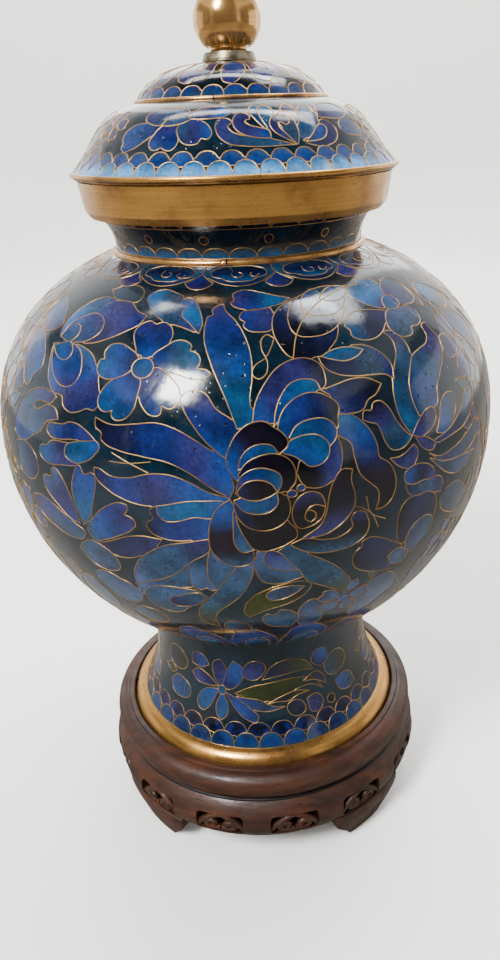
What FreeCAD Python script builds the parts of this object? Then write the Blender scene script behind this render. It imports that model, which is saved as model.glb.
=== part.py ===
"""Covered cloisonne jar on a carved wooden stand, in millimetres, +Z up.

The origin is on the floor, under the middle of the stand, and -Y is the front.
The copper jar is made of a bowl, a shoulder, a neck and a foot, brazed together. Enamel covers it
outside and inside, and brass rings finish its mouth, neck and foot. The lid is one copper shell with
a brass lip and a locating collar that drops into the mouth. A ball finial is bolted through it.
The jar stands in the rebate of a turned stand with an openwork band and four bracket feet.
"""
import FreeCAD
import Part

import math
import os

OUT = "parts"
UP = FreeCAD.Vector(0, 0, 1)
ORIGIN = FreeCAD.Vector(0, 0, 0)

# Walls, from the outside in
ENAMEL = 1.0
COPPER = 1.2
LINING = 0.5
COPPER_IN = ENAMEL + COPPER
WALL = COPPER_IN + LINING

# Stand
BAND_BOTTOM = 15.6
BAND_TOP = 31.5
BAND_INNER_R = 54.5
BAND_FOOT_R = 61.5
BAND_BULGE_R = 63.8
BAND_NECK_R = 59.0
RIM_TOP = 43.2
RIM_BORE_R = 50.0
SEAT_Z = 39.0
SEAT_R = 54.6
SEAT_BOARD_THICK = 3.5
SEAT_BOARD_GAP = 0.1
PIERCINGS = 14
PIERCING_ANGLE = 16.5
PIERCING_BOTTOM = 17.6
PIERCING_HEIGHT = 8.6
PIERCING_CORNER = 1.8
SEGMENT_JOINT_ANGLE = 360.0 / PIERCINGS * 2
FOOT_TOP_WIDTH = 36.0
FOOT_TIP_WIDTH = 10.0
FOOT_INNER_R = 54.0
FOOT_OUTER_R = 62.3
FOOT_BRIM = 3.0
DOWEL_R = 2.0
DOWEL_RING_R = 56.5
DOWEL_DEPTH = 7.0
DOWEL_IN_BAND = 1.6
DOWEL_SPREAD = 9.0

# Jar
BELLY_R = 85.5
BELLY_Z = 162.4
LOWER_HALF = 84.5
UPPER_HALF = 64.0
SHOULDER_POWER = 2.3
WAIST_R = 42.2
NECK_R = 40.5
NECK_BOTTOM = 222.0
NECK_TOP = 232.0
NECK_FLARE = 14.0
NECK_RING_R = 40.7
NECK_RING_Z = 220.9
NECK_RING_WIRE = 1.15
FOOT_RING_R = 54.1
FOOT_EDGE_R = 49.5
FOOT_EDGE_Z = 46.5

# Mouth
MOUTH_R = 41.5
MOUTH_WALL = 1.3
MOUTH_TOP = 242.6
MOUTH_TOP_R = 50.1
MOUTH_FOOT_R = 48.8
MOUTH_FOOT_Z = 234.0

# Lid
LIP_Z = 244.1
LIP_R = 51.9
LID_STEP_R = 29.5
LID_STEP_Z = 263.9
LID_STEP_WIRE = 0.65
COLLAR_R = 40.9
COLLAR_WALL = 1.2
COLLAR_BOTTOM = 234.6
LID_APEX_Z = 274.3

# Finial
STUD_R = 2.45
STUD_HOLE_R = 2.5
STUD_BOTTOM = 265.6
STUD_TOP = 283.4
FINIAL_BASE_Z = 276.8
WASHER_Z = 274.35
BALL_R = 10.2
BALL_Z = 285.5
NUT_FLATS = 8.0
NUT_HEIGHT = 4.0
BACKING_WASHER_R = 6.0
BACKING_WASHER_THICK = 1.0

# Butt joint in each bent brass ring, on its front
SEAM_GAP = 0.45
NECK_SEAM_ANGLE = -0.5
STEP_SEAM_ANGLE = -4.5


def at(r, z):
    return FreeCAD.Vector(r, 0, z)


def line(a, b):
    return Part.LineSegment(at(*a), at(*b)).toShape()


def arc(a, middle, b):
    return Part.Arc(at(*a), at(*middle), at(*b)).toShape()


def spline(points):
    curve = Part.BSplineCurve()
    curve.interpolate([at(*p) for p in points])
    return curve.toShape()


def turned(edges, angle=360.0):
    """A solid turned about Z from the edges of a closed outline in the XZ plane."""
    face = Part.Face(Part.Wire(Part.__sortEdges__(edges)))
    return solid_of(face.revolve(ORIGIN, UP, angle))


def turned_polygon(corners, angle=360.0):
    edges = [line(a, b) for a, b in zip(corners, corners[1:] + corners[:1])]
    return turned(edges, angle)


def solid_of(shape):
    solid = max(shape.Solids, key=lambda s: s.Volume) if shape.Solids else Part.makeSolid(shape)
    if solid.Volume < 0:
        solid.reverse()
    return solid


def offset_points(points, depth):
    """The outline moved inwards, square to itself, by depth. The outline runs upwards."""
    curve = Part.BSplineCurve()
    curve.interpolate([at(*p) for p in points])
    moved = []
    for r, z in points:
        tangent = curve.tangent(curve.parameter(at(r, z)))[0]
        moved.append((r - depth * tangent.z, z + depth * tangent.x))
    return moved


def shell(points, outer, inner):
    """A turned shell between two depths below the outline."""
    outside = points if outer == 0 else offset_points(points, outer)
    inside = offset_points(points, inner)
    return turned([
        spline(outside),
        spline(inside),
        line(outside[0], inside[0]),
        line(outside[-1], inside[-1]),
    ])


def slab(low, high, radius=120.0):
    return Part.makeCylinder(radius, high - low, at(0, low), UP)


def drill(r, low, high):
    return Part.makeCylinder(r, high - low, at(0, low), UP)


def around(shape, angle):
    turned_shape = shape.copy()
    turned_shape.rotate(ORIGIN, UP, angle)
    return turned_shape


def save(name, *shapes):
    whole = shapes[0] if len(shapes) == 1 else Part.makeCompound(list(shapes))
    for solid in whole.Solids:
        if not solid.isValid():
            raise ValueError(name + " has an invalid solid")
    whole.exportStep(os.path.join(OUT, name + ".step"))


# Outlines of the finished enamel, from the bottom up

def bowl_outline(low_r):
    """The lower half of the belly, an ellipse, from radius low_r up to the widest part."""
    start = math.acos(low_r / BELLY_R)
    steps = 12
    angles = [start * (1 - i / steps) for i in range(steps + 1)]
    return [(BELLY_R * math.cos(a), BELLY_Z - LOWER_HALF * math.sin(a)) for a in angles]


def shoulder_outline(top_r):
    """The upper half of the belly, a superellipse, from the widest part up to radius top_r."""
    end = math.acos((top_r / BELLY_R) ** (SHOULDER_POWER / 2))
    steps = 12
    points = [(BELLY_R, BELLY_Z)]
    for i in range(1, steps + 1):
        a = end * i / steps
        points.append((
            BELLY_R * math.cos(a) ** (2 / SHOULDER_POWER),
            BELLY_Z + UPPER_HALF * math.sin(a) ** (2 / SHOULDER_POWER),
        ))
    return points


FOOT_OUTLINE = [
    (FOOT_EDGE_R, FOOT_EDGE_Z), (46.7, 52.5), (44.4, 59.0), (42.9, 65.6),
    (42.2, 73.0), (41.9, 80.5), (WAIST_R, 88.3),
]
SKIRT_OUTLINE = [
    (54.2, 242.0), (52.0, LIP_Z), (47.5, 249.4), (43.7, 254.8), (39.9, 259.2),
    (34.8, 262.4), (LID_STEP_R, LID_STEP_Z),
]
CAP_OUTLINE = [
    (29.3, 264.3), (27.3, 267.2), (23.4, 270.5), (17.4, 272.8), (11.2, 273.9), (6.0, LID_APEX_Z),
]


# Jar

def neck_layer(outer, inner):
    """A layer of the flared neck. Its arcs share one centre, so the layers touch."""
    centre = NECK_R + NECK_FLARE
    rise = NECK_TOP - NECK_BOTTOM

    def side(depth):
        radius = NECK_FLARE + depth
        middle = math.asin(rise / radius) / 2
        return [
            (centre - radius, NECK_BOTTOM),
            (centre - radius * math.cos(middle), NECK_BOTTOM + radius * math.sin(middle)),
            (centre - math.sqrt(radius ** 2 - rise ** 2), NECK_TOP),
        ]

    a, b = side(outer), side(inner)
    return turned([arc(*a), arc(*b), line(a[0], b[0]), line(a[-1], b[-1])])


def bowl_cap(outer, inner):
    """The closed bottom of the bowl, between two depths, inside the lowest radius of the belly enamel."""
    def side(depth):
        width, half = BELLY_R - depth, LOWER_HALF - depth
        a = math.acos(WAIST_R / width)
        middle = (a + math.pi / 2) / 2
        return [
            (0.0, BELLY_Z - half),
            (width * math.cos(middle), BELLY_Z - half * math.sin(middle)),
            (WAIST_R, BELLY_Z - half * math.sin(a)),
        ]

    a, b = side(outer), side(inner)
    return turned([arc(*a), arc(*b), line(a[0], b[0]), line(a[-1], b[-1])])


def bowl_shell(outer, inner, closed):
    """A layer of the lower half, with or without its bottom."""
    def side(depth):
        width, half = BELLY_R - depth, LOWER_HALF - depth
        start = math.pi / 2 if closed else math.acos(WAIST_R / width)
        steps = 12
        angles = [start * (1 - i / steps) for i in range(steps + 1)]
        return [(width * math.cos(a), BELLY_Z - half * math.sin(a)) for a in angles]

    a, b = side(outer), side(inner)
    if closed:
        a[0], b[0] = (0.0, a[0][1]), (0.0, b[0][1])
    return turned([spline(a), spline(b), line(a[0], b[0]), line(a[-1], b[-1])])


def shoulder_shell(outer, inner):
    return shell(shoulder_outline(NECK_R - 1.2), outer, inner).common(slab(100.0, NECK_BOTTOM - 0.9))


def ring_with_seam(ring_r, z, wire, seam_angle):
    """A bent brass wire whose ends meet, with a fine gap, at an angle from the front."""
    ring = Part.makeTorus(ring_r, wire, at(0, z), UP)
    gap = Part.makeBox(SEAM_GAP, 4 * wire, 4 * wire, FreeCAD.Vector(-SEAM_GAP / 2, -ring_r - 2 * wire, z - 2 * wire))
    return ring.cut(around(gap, seam_angle))


def make_jar():
    save("copper_bowl", bowl_shell(ENAMEL, COPPER_IN, True))
    ring_clearance = Part.makeTorus(NECK_RING_R, NECK_RING_WIRE, at(0, NECK_RING_Z), UP)
    save("copper_shoulder", solid_of(shoulder_shell(ENAMEL, COPPER_IN).cut(ring_clearance)))
    copper_neck = neck_layer(ENAMEL, COPPER_IN)
    save("copper_neck", solid_of(copper_neck.cut(ring_clearance)))
    save("belly_enamel_lower", bowl_shell(0.0, ENAMEL, False))
    save("belly_enamel_upper", solid_of(shoulder_shell(0.0, ENAMEL).cut(ring_clearance)))
    save("neck_enamel", solid_of(neck_layer(0.0, ENAMEL).cut(ring_clearance)))
    save("lining_bowl", bowl_shell(COPPER_IN, WALL, True))
    save("lining_shoulder", shoulder_shell(COPPER_IN, WALL))
    save("lining_neck", neck_layer(COPPER_IN, WALL))
    save("neck_ring", ring_with_seam(NECK_RING_R, NECK_RING_Z, NECK_RING_WIRE, NECK_SEAM_ANGLE))
    make_foot()
    make_mouth()


def make_foot():
    """The flared foot: copper under enamel, brazed to the bowl, ending in a heavy brass ring."""
    bowl = bowl_shell(0.0, WALL, True)
    save("foot_enamel", solid_of(shell(FOOT_OUTLINE, 0.0, ENAMEL).cut(bowl)))
    copper = shell(FOOT_OUTLINE, ENAMEL, COPPER_IN).cut(bowl)
    save("copper_foot", solid_of(copper))
    save("foot_lining", solid_of(shell(FOOT_OUTLINE, COPPER_IN, WALL).cut(bowl)))
    save("base_enamel", base_enamel())
    inside = offset_points(FOOT_OUTLINE, WALL)[0]
    ring_inner_r = 48.0
    ring = turned([
        line((FOOT_EDGE_R, FOOT_EDGE_Z), inside),
        line(inside, (ring_inner_r, 41.5)),
        line((ring_inner_r, 41.5), (ring_inner_r, SEAT_Z)),
        line((ring_inner_r, SEAT_Z), (FOOT_RING_R - 0.5, SEAT_Z)),
        line((FOOT_RING_R - 0.5, SEAT_Z), (FOOT_RING_R, SEAT_Z + 0.5)),
        line((FOOT_RING_R, SEAT_Z + 0.5), (FOOT_RING_R, 41.6)),
        arc((FOOT_RING_R, 41.6), (52.6, 44.9), (FOOT_EDGE_R, FOOT_EDGE_Z)),
    ])
    save("foot_ring", ring)


def base_enamel():
    """The coat under the bowl, seen from below inside the foot."""
    inner_foot = 36.0
    coat = bowl_cap(0.0, ENAMEL)
    return solid_of(coat.common(drill(inner_foot, 60.0, 100.0)))


def make_mouth():
    """The mouth is a boxed ring: an outer band, and a liner with the flat seat for the lid."""
    wall = MOUTH_WALL
    chamfer = 1.5
    save("mouth_band", turned_polygon([
        (MOUTH_R, NECK_TOP), (MOUTH_FOOT_R - chamfer, NECK_TOP), (MOUTH_FOOT_R, MOUTH_FOOT_Z),
        (MOUTH_TOP_R, MOUTH_TOP), (MOUTH_TOP_R - wall, MOUTH_TOP),
        (MOUTH_FOOT_R - wall, MOUTH_FOOT_Z + 0.4), (MOUTH_FOOT_R - wall - 1.0, NECK_TOP + wall),
        (MOUTH_R, NECK_TOP + wall),
    ]))
    save("mouth_liner", turned_polygon([
        (MOUTH_R, NECK_TOP + wall), (MOUTH_R + wall, NECK_TOP + wall), (MOUTH_R + wall, MOUTH_TOP - wall),
        (MOUTH_TOP_R - 2 * wall, MOUTH_TOP - wall), (MOUTH_TOP_R - wall - 0.05, MOUTH_TOP),
        (MOUTH_R + 0.5, MOUTH_TOP), (MOUTH_R, MOUTH_TOP - 0.5),
    ]))


# Lid

def make_lid():
    above_lip = slab(LIP_Z, 300.0)
    step = Part.makeTorus(LID_STEP_R, LID_STEP_WIRE, at(0, LID_STEP_Z), UP)
    stud_hole = drill(STUD_HOLE_R + 0.1, 255.0, 300.0)
    skirt_enamel = shell(SKIRT_OUTLINE, 0.0, ENAMEL).common(above_lip).cut(step)
    save("lid_skirt_enamel", solid_of(skirt_enamel))
    cap_enamel = shell(CAP_OUTLINE, 0.0, ENAMEL).cut(step)
    save("lid_cap_enamel", solid_of(cap_enamel))
    copper = lid_layer(ENAMEL, COPPER_IN).common(above_lip).cut(step).cut(stud_hole)
    save("lid_copper", solid_of(copper))
    lining = lid_layer(COPPER_IN, WALL).common(above_lip).cut(stud_hole)
    save("lid_lining", solid_of(lining))
    save("lid_step_ring", ring_with_seam(LID_STEP_R, LID_STEP_Z, LID_STEP_WIRE, STEP_SEAM_ANGLE))
    seat_inner, seat_outer, seat_drop = 44.6, 48.0, 0.55
    lip_bottom = LIP_Z - 1.0
    save("lid_lip_ring", turned_polygon([
        (COLLAR_R, LIP_Z), (COLLAR_R, lip_bottom), (seat_inner, lip_bottom), (seat_inner, MOUTH_TOP),
        (seat_outer, MOUTH_TOP), (seat_outer, lip_bottom), (LIP_R - 1.1, lip_bottom), (LIP_R, LIP_Z),
    ]))
    save("lid_collar", turned_polygon([
        (COLLAR_R, LIP_Z + 1.6), (COLLAR_R - COLLAR_WALL, LIP_Z + 1.6),
        (COLLAR_R - COLLAR_WALL, COLLAR_BOTTOM), (COLLAR_R - 0.4, COLLAR_BOTTOM),
        (COLLAR_R, COLLAR_BOTTOM + 1.0),
    ]))


def lid_layer(outer, inner):
    """One layer of the spun lid: the skirt and the cap in one, stepped at the ring, closed at the crown."""
    def side(depth):
        skirt = offset_points(SKIRT_OUTLINE, depth)
        cap = offset_points(CAP_OUTLINE, depth)
        crown = (0.0, cap[-1][1])
        return skirt, cap, crown

    a, b = side(outer), side(inner)
    edges = []
    for skirt, cap, crown in (a, b):
        edges += [spline(skirt), line(skirt[-1], cap[0]), spline(cap), line(cap[-1], crown)]
    edges += [line(a[0][0], b[0][0]), line(a[2], b[2])]
    return turned(edges)


def make_finial():
    base_r = 6.2
    neck_r = 5.6
    join_z = 278.3
    join_r = math.sqrt(BALL_R ** 2 - (BALL_Z - join_z) ** 2)
    thread = (STUD_HOLE_R, STUD_TOP + 0.6)
    save("finial_ball", turned([
        line((STUD_HOLE_R, FINIAL_BASE_Z), (base_r, FINIAL_BASE_Z)),
        arc((base_r, FINIAL_BASE_Z), (neck_r, 277.7), (join_r, join_z)),
        arc((join_r, join_z), (BALL_R, BALL_Z), (0.0, BALL_Z + BALL_R)),
        line((0.0, BALL_Z + BALL_R), (0.0, thread[1])),
        line((0.0, thread[1]), thread),
        line(thread, (STUD_HOLE_R, FINIAL_BASE_Z)),
    ]))
    save("finial_washer", turned_polygon([
        (STUD_HOLE_R + 0.1, WASHER_Z), (8.3, WASHER_Z), (8.2, WASHER_Z + 0.7),
        (7.5, FINIAL_BASE_Z), (STUD_HOLE_R + 0.1, FINIAL_BASE_Z),
    ]))
    save("finial_stud", turned_polygon([
        (0.0, STUD_BOTTOM), (STUD_R - 0.4, STUD_BOTTOM), (STUD_R, STUD_BOTTOM + 0.4),
        (STUD_R, STUD_TOP - 0.4), (STUD_R - 0.4, STUD_TOP), (0.0, STUD_TOP),
    ]))
    inside_top = LID_APEX_Z - WALL
    washer_bottom = inside_top - BACKING_WASHER_THICK
    backing = drill(BACKING_WASHER_R, washer_bottom, inside_top)
    save("backing_washer", backing.cut(drill(STUD_HOLE_R + 0.1, washer_bottom - 1, inside_top + 1)))
    corner_r = NUT_FLATS / 2 / math.cos(math.pi / 6)
    corners = [
        FreeCAD.Vector(
            corner_r * math.cos(math.radians(60 * i)),
            corner_r * math.sin(math.radians(60 * i)),
            washer_bottom - NUT_HEIGHT,
        )
        for i in range(7)
    ]
    nut = Part.Face(Part.makePolygon(corners)).extrude(FreeCAD.Vector(0, 0, NUT_HEIGHT))
    save("finial_nut", nut.cut(drill(STUD_HOLE_R, washer_bottom - NUT_HEIGHT - 1, washer_bottom + 1)))


# Stand

def make_top_ring():
    """The turned top ring: a flat lip round the seat, a fine groove, and a rounded moulding."""
    board_bottom = SEAT_Z - SEAT_BOARD_THICK
    ring = turned([
        line((RIM_BORE_R, BAND_TOP), (RIM_BORE_R, board_bottom)),
        line((RIM_BORE_R, board_bottom), (SEAT_R, board_bottom)),
        line((SEAT_R, board_bottom), (SEAT_R, RIM_TOP - 0.3)),
        line((SEAT_R, RIM_TOP - 0.3), (SEAT_R + 0.4, RIM_TOP)),
        line((SEAT_R + 0.4, RIM_TOP), (56.6, RIM_TOP)),
        line((56.6, RIM_TOP), (57.0, 42.5)),
        arc((57.0, 42.5), (61.0, 40.4), (61.4, 36.2)),
        arc((61.4, 36.2), (60.7, 33.8), (BAND_NECK_R - 0.8, 32.6)),
        line((BAND_NECK_R - 0.8, 32.6), (BAND_NECK_R - 0.8, BAND_TOP)),
        line((BAND_NECK_R - 0.8, BAND_TOP), (RIM_BORE_R, BAND_TOP)),
    ])
    save("stand_top_ring", ring)
    board = drill(SEAT_R - SEAT_BOARD_GAP, board_bottom, SEAT_Z)
    save("stand_seat_board", board)


def band_sector(start, sweep):
    """A length of the bulging band, from an angle to the right of the front."""
    section = [
        line((BAND_INNER_R, BAND_BOTTOM), (BAND_INNER_R, BAND_TOP)),
        line((BAND_INNER_R, BAND_TOP), (BAND_NECK_R, BAND_TOP)),
        arc((BAND_NECK_R, BAND_TOP), (BAND_BULGE_R, 23.6), (BAND_FOOT_R, BAND_BOTTOM)),
        line((BAND_FOOT_R, BAND_BOTTOM), (BAND_INNER_R, BAND_BOTTOM)),
    ]
    return around(turned(section, sweep), start - 90.0)


def piercing(angle):
    """A round-cornered window through the band, at an angle to the right of the front."""
    width = 2 * BAND_BULGE_R * math.sin(math.radians(PIERCING_ANGLE / 2))
    depth = 20.0
    window = Part.makeBox(
        width, depth, PIERCING_HEIGHT,
        FreeCAD.Vector(-width / 2, -BAND_BULGE_R - depth / 2, PIERCING_BOTTOM),
    )
    through = [e for e in window.Edges if abs(e.tangentAt(e.FirstParameter).y) > 0.99]
    return around(window.makeFillet(PIERCING_CORNER, through), angle)


def foot_dowel(angle, side):
    """One of the two dowels that peg a foot to the band."""
    low = BAND_BOTTOM - DOWEL_DEPTH
    peg = Part.makeCylinder(
        DOWEL_R, DOWEL_DEPTH + DOWEL_IN_BAND, FreeCAD.Vector(side * DOWEL_SPREAD, -DOWEL_RING_R, low), UP
    )
    return around(peg, angle)


def bracket_foot(angle):
    """A bracket foot: wide under the band, with rounded sides that draw in to a narrow tip."""
    half_top, half_tip = FOOT_TOP_WIDTH / 2, FOOT_TIP_WIDTH / 2
    y = -FOOT_OUTER_R - 5.0

    def corner(x, z):
        return FreeCAD.Vector(x, y, z)

    top, brim = BAND_BOTTOM, BAND_BOTTOM - FOOT_BRIM
    side = (0.80 * half_top + 0.20 * half_tip, 0.36 * brim)
    edges = [
        Part.LineSegment(corner(-half_top, top), corner(half_top, top)).toShape(),
        Part.LineSegment(corner(half_top, top), corner(half_top, brim)).toShape(),
        Part.Arc(corner(half_top, brim), corner(*side), corner(half_tip, 0)).toShape(),
        Part.LineSegment(corner(half_tip, 0), corner(-half_tip, 0)).toShape(),
        Part.Arc(corner(-half_tip, 0), corner(-side[0], side[1]), corner(-half_top, brim)).toShape(),
        Part.LineSegment(corner(-half_top, brim), corner(-half_top, top)).toShape(),
    ]
    elevation = Part.Face(Part.Wire(edges)).extrude(FreeCAD.Vector(0, 25.0, 0))
    ring = turned([
        line((FOOT_INNER_R, 0.0), (FOOT_OUTER_R, 0.0)),
        arc((FOOT_OUTER_R, 0.0), (FOOT_OUTER_R - 1.6, 7.5), (BAND_FOOT_R, BAND_BOTTOM)),
        line((BAND_FOOT_R, BAND_BOTTOM), (FOOT_INNER_R, BAND_BOTTOM)),
        line((FOOT_INNER_R, BAND_BOTTOM), (FOOT_INNER_R, 0.0)),
    ])
    return around(solid_of(elevation.common(ring)), angle)


def make_stand():
    make_top_ring()
    pitch = 360.0 / PIERCINGS
    windows = [piercing(pitch * (i + 0.5)) for i in range(PIERCINGS)]
    feet = {"front_right_foot": 45, "back_right_foot": 135, "back_left_foot": 225, "front_left_foot": 315}
    pegs = {a: [foot_dowel(a, side) for side in (-1, 1)] for a in feet.values()}
    every_peg = [peg for pair in pegs.values() for peg in pair]
    joint = SEGMENT_JOINT_ANGLE
    segments = {
        "front_band": (-joint, 2 * joint),
        "right_band": (joint, 180 - 2 * joint),
        "back_band": (180 - joint, 2 * joint),
        "left_band": (180 + joint, 180 - 2 * joint),
    }
    for name, (start, sweep) in segments.items():
        segment = band_sector(start, sweep).cut(windows).cut(every_peg)
        save(name, solid_of(segment))
    for name, angle in feet.items():
        save(name, solid_of(bracket_foot(angle).cut(pegs[angle])))
    save("foot_dowels", *every_peg)


os.makedirs(OUT, exist_ok=True)
make_stand()
make_jar()
make_lid()
make_finial()
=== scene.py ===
"""Looks for a covered cloisonne jar on its wooden stand.

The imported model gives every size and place. The enamel coats are rebuilt here cell by cell: every
drawn wire is an outline in degrees round the jar and millimetres along its wall, the cells between
the wires are meshed and coloured one by one, and the wires themselves are laid as raised metal.
"""

import math
import random

import bmesh
import bpy
import numpy as np
from bpy.props import FloatProperty, FloatVectorProperty, PointerProperty
from mathutils import Matrix, Vector
from mathutils.geometry import delaunay_2d_cdt
from mathutils.kdtree import KDTree


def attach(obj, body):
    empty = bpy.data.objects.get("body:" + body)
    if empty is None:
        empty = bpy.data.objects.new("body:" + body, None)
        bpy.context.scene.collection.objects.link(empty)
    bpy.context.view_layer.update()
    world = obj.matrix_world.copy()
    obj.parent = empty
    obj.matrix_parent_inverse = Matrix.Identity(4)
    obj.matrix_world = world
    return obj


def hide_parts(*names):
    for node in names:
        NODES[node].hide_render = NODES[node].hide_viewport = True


bl_info = {
    "name": "Covered Cloisonne Jar",
    "version": (1, 0, 0),
    "blender": (4, 5, 0),
    "location": "3D View > Sidebar > Jar",
    "description": "Builds the enamel, wires, brass and wood of a covered cloisonne jar on its stand",
    "category": "Add Mesh",
}

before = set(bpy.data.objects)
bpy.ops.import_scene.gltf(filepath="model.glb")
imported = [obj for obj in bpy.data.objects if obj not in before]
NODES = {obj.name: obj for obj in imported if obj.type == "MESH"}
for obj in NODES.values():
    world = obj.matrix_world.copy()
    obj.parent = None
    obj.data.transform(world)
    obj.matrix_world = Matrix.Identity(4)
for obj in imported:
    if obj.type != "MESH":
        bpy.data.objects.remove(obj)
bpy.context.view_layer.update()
MM = 0.001


def srgb(code):
    """A hex colour as linear red, green and blue."""
    values = [int(code[i:i + 2], 16) / 255 for i in (1, 3, 5)]
    return tuple(v / 12.92 if v <= 0.04045 else ((v + 0.055) / 1.055) ** 2.4 for v in values)


# Glass frits, by the letter that the patterns use
FRITS = {
    "t": srgb("#042b49"),   # turquoise
    "a": srgb("#0a3b62"),   # pale turquoise
    "b": srgb("#08234f"),   # bright blue
    "c": srgb("#0a1540"),   # cobalt
    "v": srgb("#17173c"),   # violet blue
    "n": srgb("#060b28"),   # navy
    "k": srgb("#020308"),   # black blue
    "m": srgb("#090410"),   # maroon black
    "s": srgb("#102538"),   # steel blue
    "p": srgb("#1f2d47"),   # pale lilac
    "l": srgb("#3f73a0"),   # sky blue
    "g": srgb("#1a2007"),   # olive
    "e": srgb("#03121c"),   # dark teal, the ground
    "d": srgb("#020a11"),   # darker ground
}

# ---------------------------------------------------------------- sizes

BELLY_R = 85.5
BELLY_Z = 162.4
LOWER_HALF = 84.5
UPPER_HALF = 64.0
SHOULDER_POWER = 2.3
WAIST_R = 42.2
SHOULDER_R = 39.3
NECK_R = 40.5
NECK_BOTTOM = 222.0
NECK_RISE = 10.0
NECK_FLARE = 14.0
FOOT_OUTLINE = [
    (49.5, 46.5), (46.7, 52.5), (44.4, 59.0), (42.9, 65.6), (42.2, 73.0), (41.9, 80.5), (42.2, 88.3),
]
SKIRT_OUTLINE = [
    (52.0, 244.1), (47.5, 249.4), (43.7, 254.8), (39.9, 259.2), (34.8, 262.4), (29.5, 263.9),
]
CAP_OUTLINE = [
    (29.3, 264.3), (27.3, 267.2), (23.4, 270.5), (17.4, 272.8), (11.2, 273.9), (6.0, 274.3),
]


class JarEnamelSettings(bpy.types.PropertyGroup):
    wire_width: FloatProperty(
        name="Wire width", description="Width of the drawn wire",
        default=0.37 * MM, unit="LENGTH", precision=5)
    wire_proud: FloatProperty(
        name="Wire height", description="How far the wire stands above the glass",
        default=0.13 * MM, unit="LENGTH", precision=5)
    wire_step: FloatProperty(
        name="Wire step", description="Distance between points along a wire",
        default=0.85 * MM, unit="LENGTH", precision=5)
    glass_step: FloatProperty(
        name="Glass step", description="Distance between mesh points inside a cell",
        default=2.4 * MM, unit="LENGTH", precision=5)
    wire_colour: FloatVectorProperty(
        name="Wire colour", description="Gilt copper wire",
        default=srgb("#ad8a52"), subtype="COLOR", min=0, max=1)


class JarBrassSettings(bpy.types.PropertyGroup):
    gilt_colour: FloatVectorProperty(
        name="Gilt colour", description="Polished gilt brass",
        default=srgb("#b18345"), subtype="COLOR", min=0, max=1)
    stain_colour: FloatVectorProperty(
        name="Stain colour", description="Brown tarnish in the gilding",
        default=srgb("#7a5230"), subtype="COLOR", min=0, max=1)
    collar_colour: FloatVectorProperty(
        name="Washer colour", description="Dull turned brass under the ball",
        default=srgb("#8f8570"), subtype="COLOR", min=0, max=1)


class JarStandSettings(bpy.types.PropertyGroup):
    wood_dark: FloatVectorProperty(
        name="Dark wood", description="Dark streaks of the rosewood",
        default=srgb("#180a05"), subtype="COLOR", min=0, max=1)
    wood_light: FloatVectorProperty(
        name="Light wood", description="Reddish streaks of the rosewood",
        default=srgb("#43200c"), subtype="COLOR", min=0, max=1)


class JarStageSettings(bpy.types.PropertyGroup):
    floor_colour: FloatVectorProperty(
        name="Floor colour", description="Plain pale floor",
        default=srgb("#f2f1ef"), subtype="COLOR", min=0, max=1)
    window_power: FloatProperty(
        name="Window power", description="Power of the main soft light in watts", default=30.0)


# ---------------------------------------------------------------- turned surfaces

def smooth_outline(points, steps=60):
    """A smooth line through a few points of an outline, closely spaced."""
    points = np.array(points, float)
    gap = np.hypot(*np.diff(points, axis=0).T)
    ways = np.diff(points, axis=0) / gap[:, None]
    inner = ways[:-1] * gap[1:, None] + ways[1:] * gap[:-1, None]
    inner /= np.hypot(*inner.T)[:, None]
    first = 1.5 * ways[0] - 0.5 * inner[0]
    last = 1.5 * ways[-1] - 0.5 * inner[-1]
    tangents = np.vstack([first / np.hypot(*first), inner, last / np.hypot(*last)])
    out = [points[:1]]
    for a, b, ta, tb, g in zip(points, points[1:], tangents, tangents[1:], gap):
        out.append(hermite(a, b, ta * g, tb * g, steps // len(points) + 4)[1:])
    return np.vstack(out)


def hermite(a, b, ta, tb, steps):
    t = np.linspace(0, 1, steps + 1)[:, None]
    return (
        (2 * t ** 3 - 3 * t ** 2 + 1) * a + (t ** 3 - 2 * t ** 2 + t) * ta
        + (3 * t ** 2 - 2 * t ** 3) * b + (t ** 3 - t ** 2) * tb
    )


class Turned:
    """A surface turned about Z. A place on it is degrees round from the front and mm along the wall."""

    def __init__(self, outline, zero=0):
        self.r, self.z = np.array(outline, float).T
        steps = np.hypot(np.diff(self.r), np.diff(self.z))
        self.s = np.concatenate([[0], np.cumsum(steps)])
        self.s -= self.s[zero]
        dr, dz = np.gradient(self.r, self.s), np.gradient(self.z, self.s)
        size = np.hypot(dr, dz)
        self.nr, self.nz = dz / size, -dr / size
        self.low, self.high = self.s[0], self.s[-1]

    def radius(self, s):
        return np.interp(s, self.s, self.r)

    def mm_per_degree(self, s):
        return np.radians(1) * self.radius(s)

    def normals(self, places):
        a, s = np.radians(places[:, 0]), places[:, 1]
        nr, nz = np.interp(s, self.s, self.nr), np.interp(s, self.s, self.nz)
        size = np.hypot(nr, nz)
        return np.stack([nr * np.sin(a), -nr * np.cos(a), nz], 1) / size[:, None]

    def points(self, places, depth):
        """Places as points in metres, sunk below the surface by depth in mm."""
        a, s = np.radians(places[:, 0]), places[:, 1]
        r, z = np.interp(s, self.s, self.r), np.interp(s, self.s, self.z)
        base = np.stack([r * np.sin(a), -r * np.cos(a), z], 1)
        return (base - depth * self.normals(places)) * MM


def belly_surface():
    low = [
        (BELLY_R * math.cos(a), BELLY_Z - LOWER_HALF * math.sin(a))
        for a in np.linspace(math.acos(WAIST_R / BELLY_R), 0, 120)
    ]
    end = math.acos((SHOULDER_R / BELLY_R) ** (SHOULDER_POWER / 2))
    power = 2 / SHOULDER_POWER
    high = [
        (BELLY_R * math.cos(a) ** power, BELLY_Z + UPPER_HALF * math.sin(a) ** power)
        for a in np.linspace(0, end, 120)[1:]
    ]
    return Turned(low + high, len(low) - 1)


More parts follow.
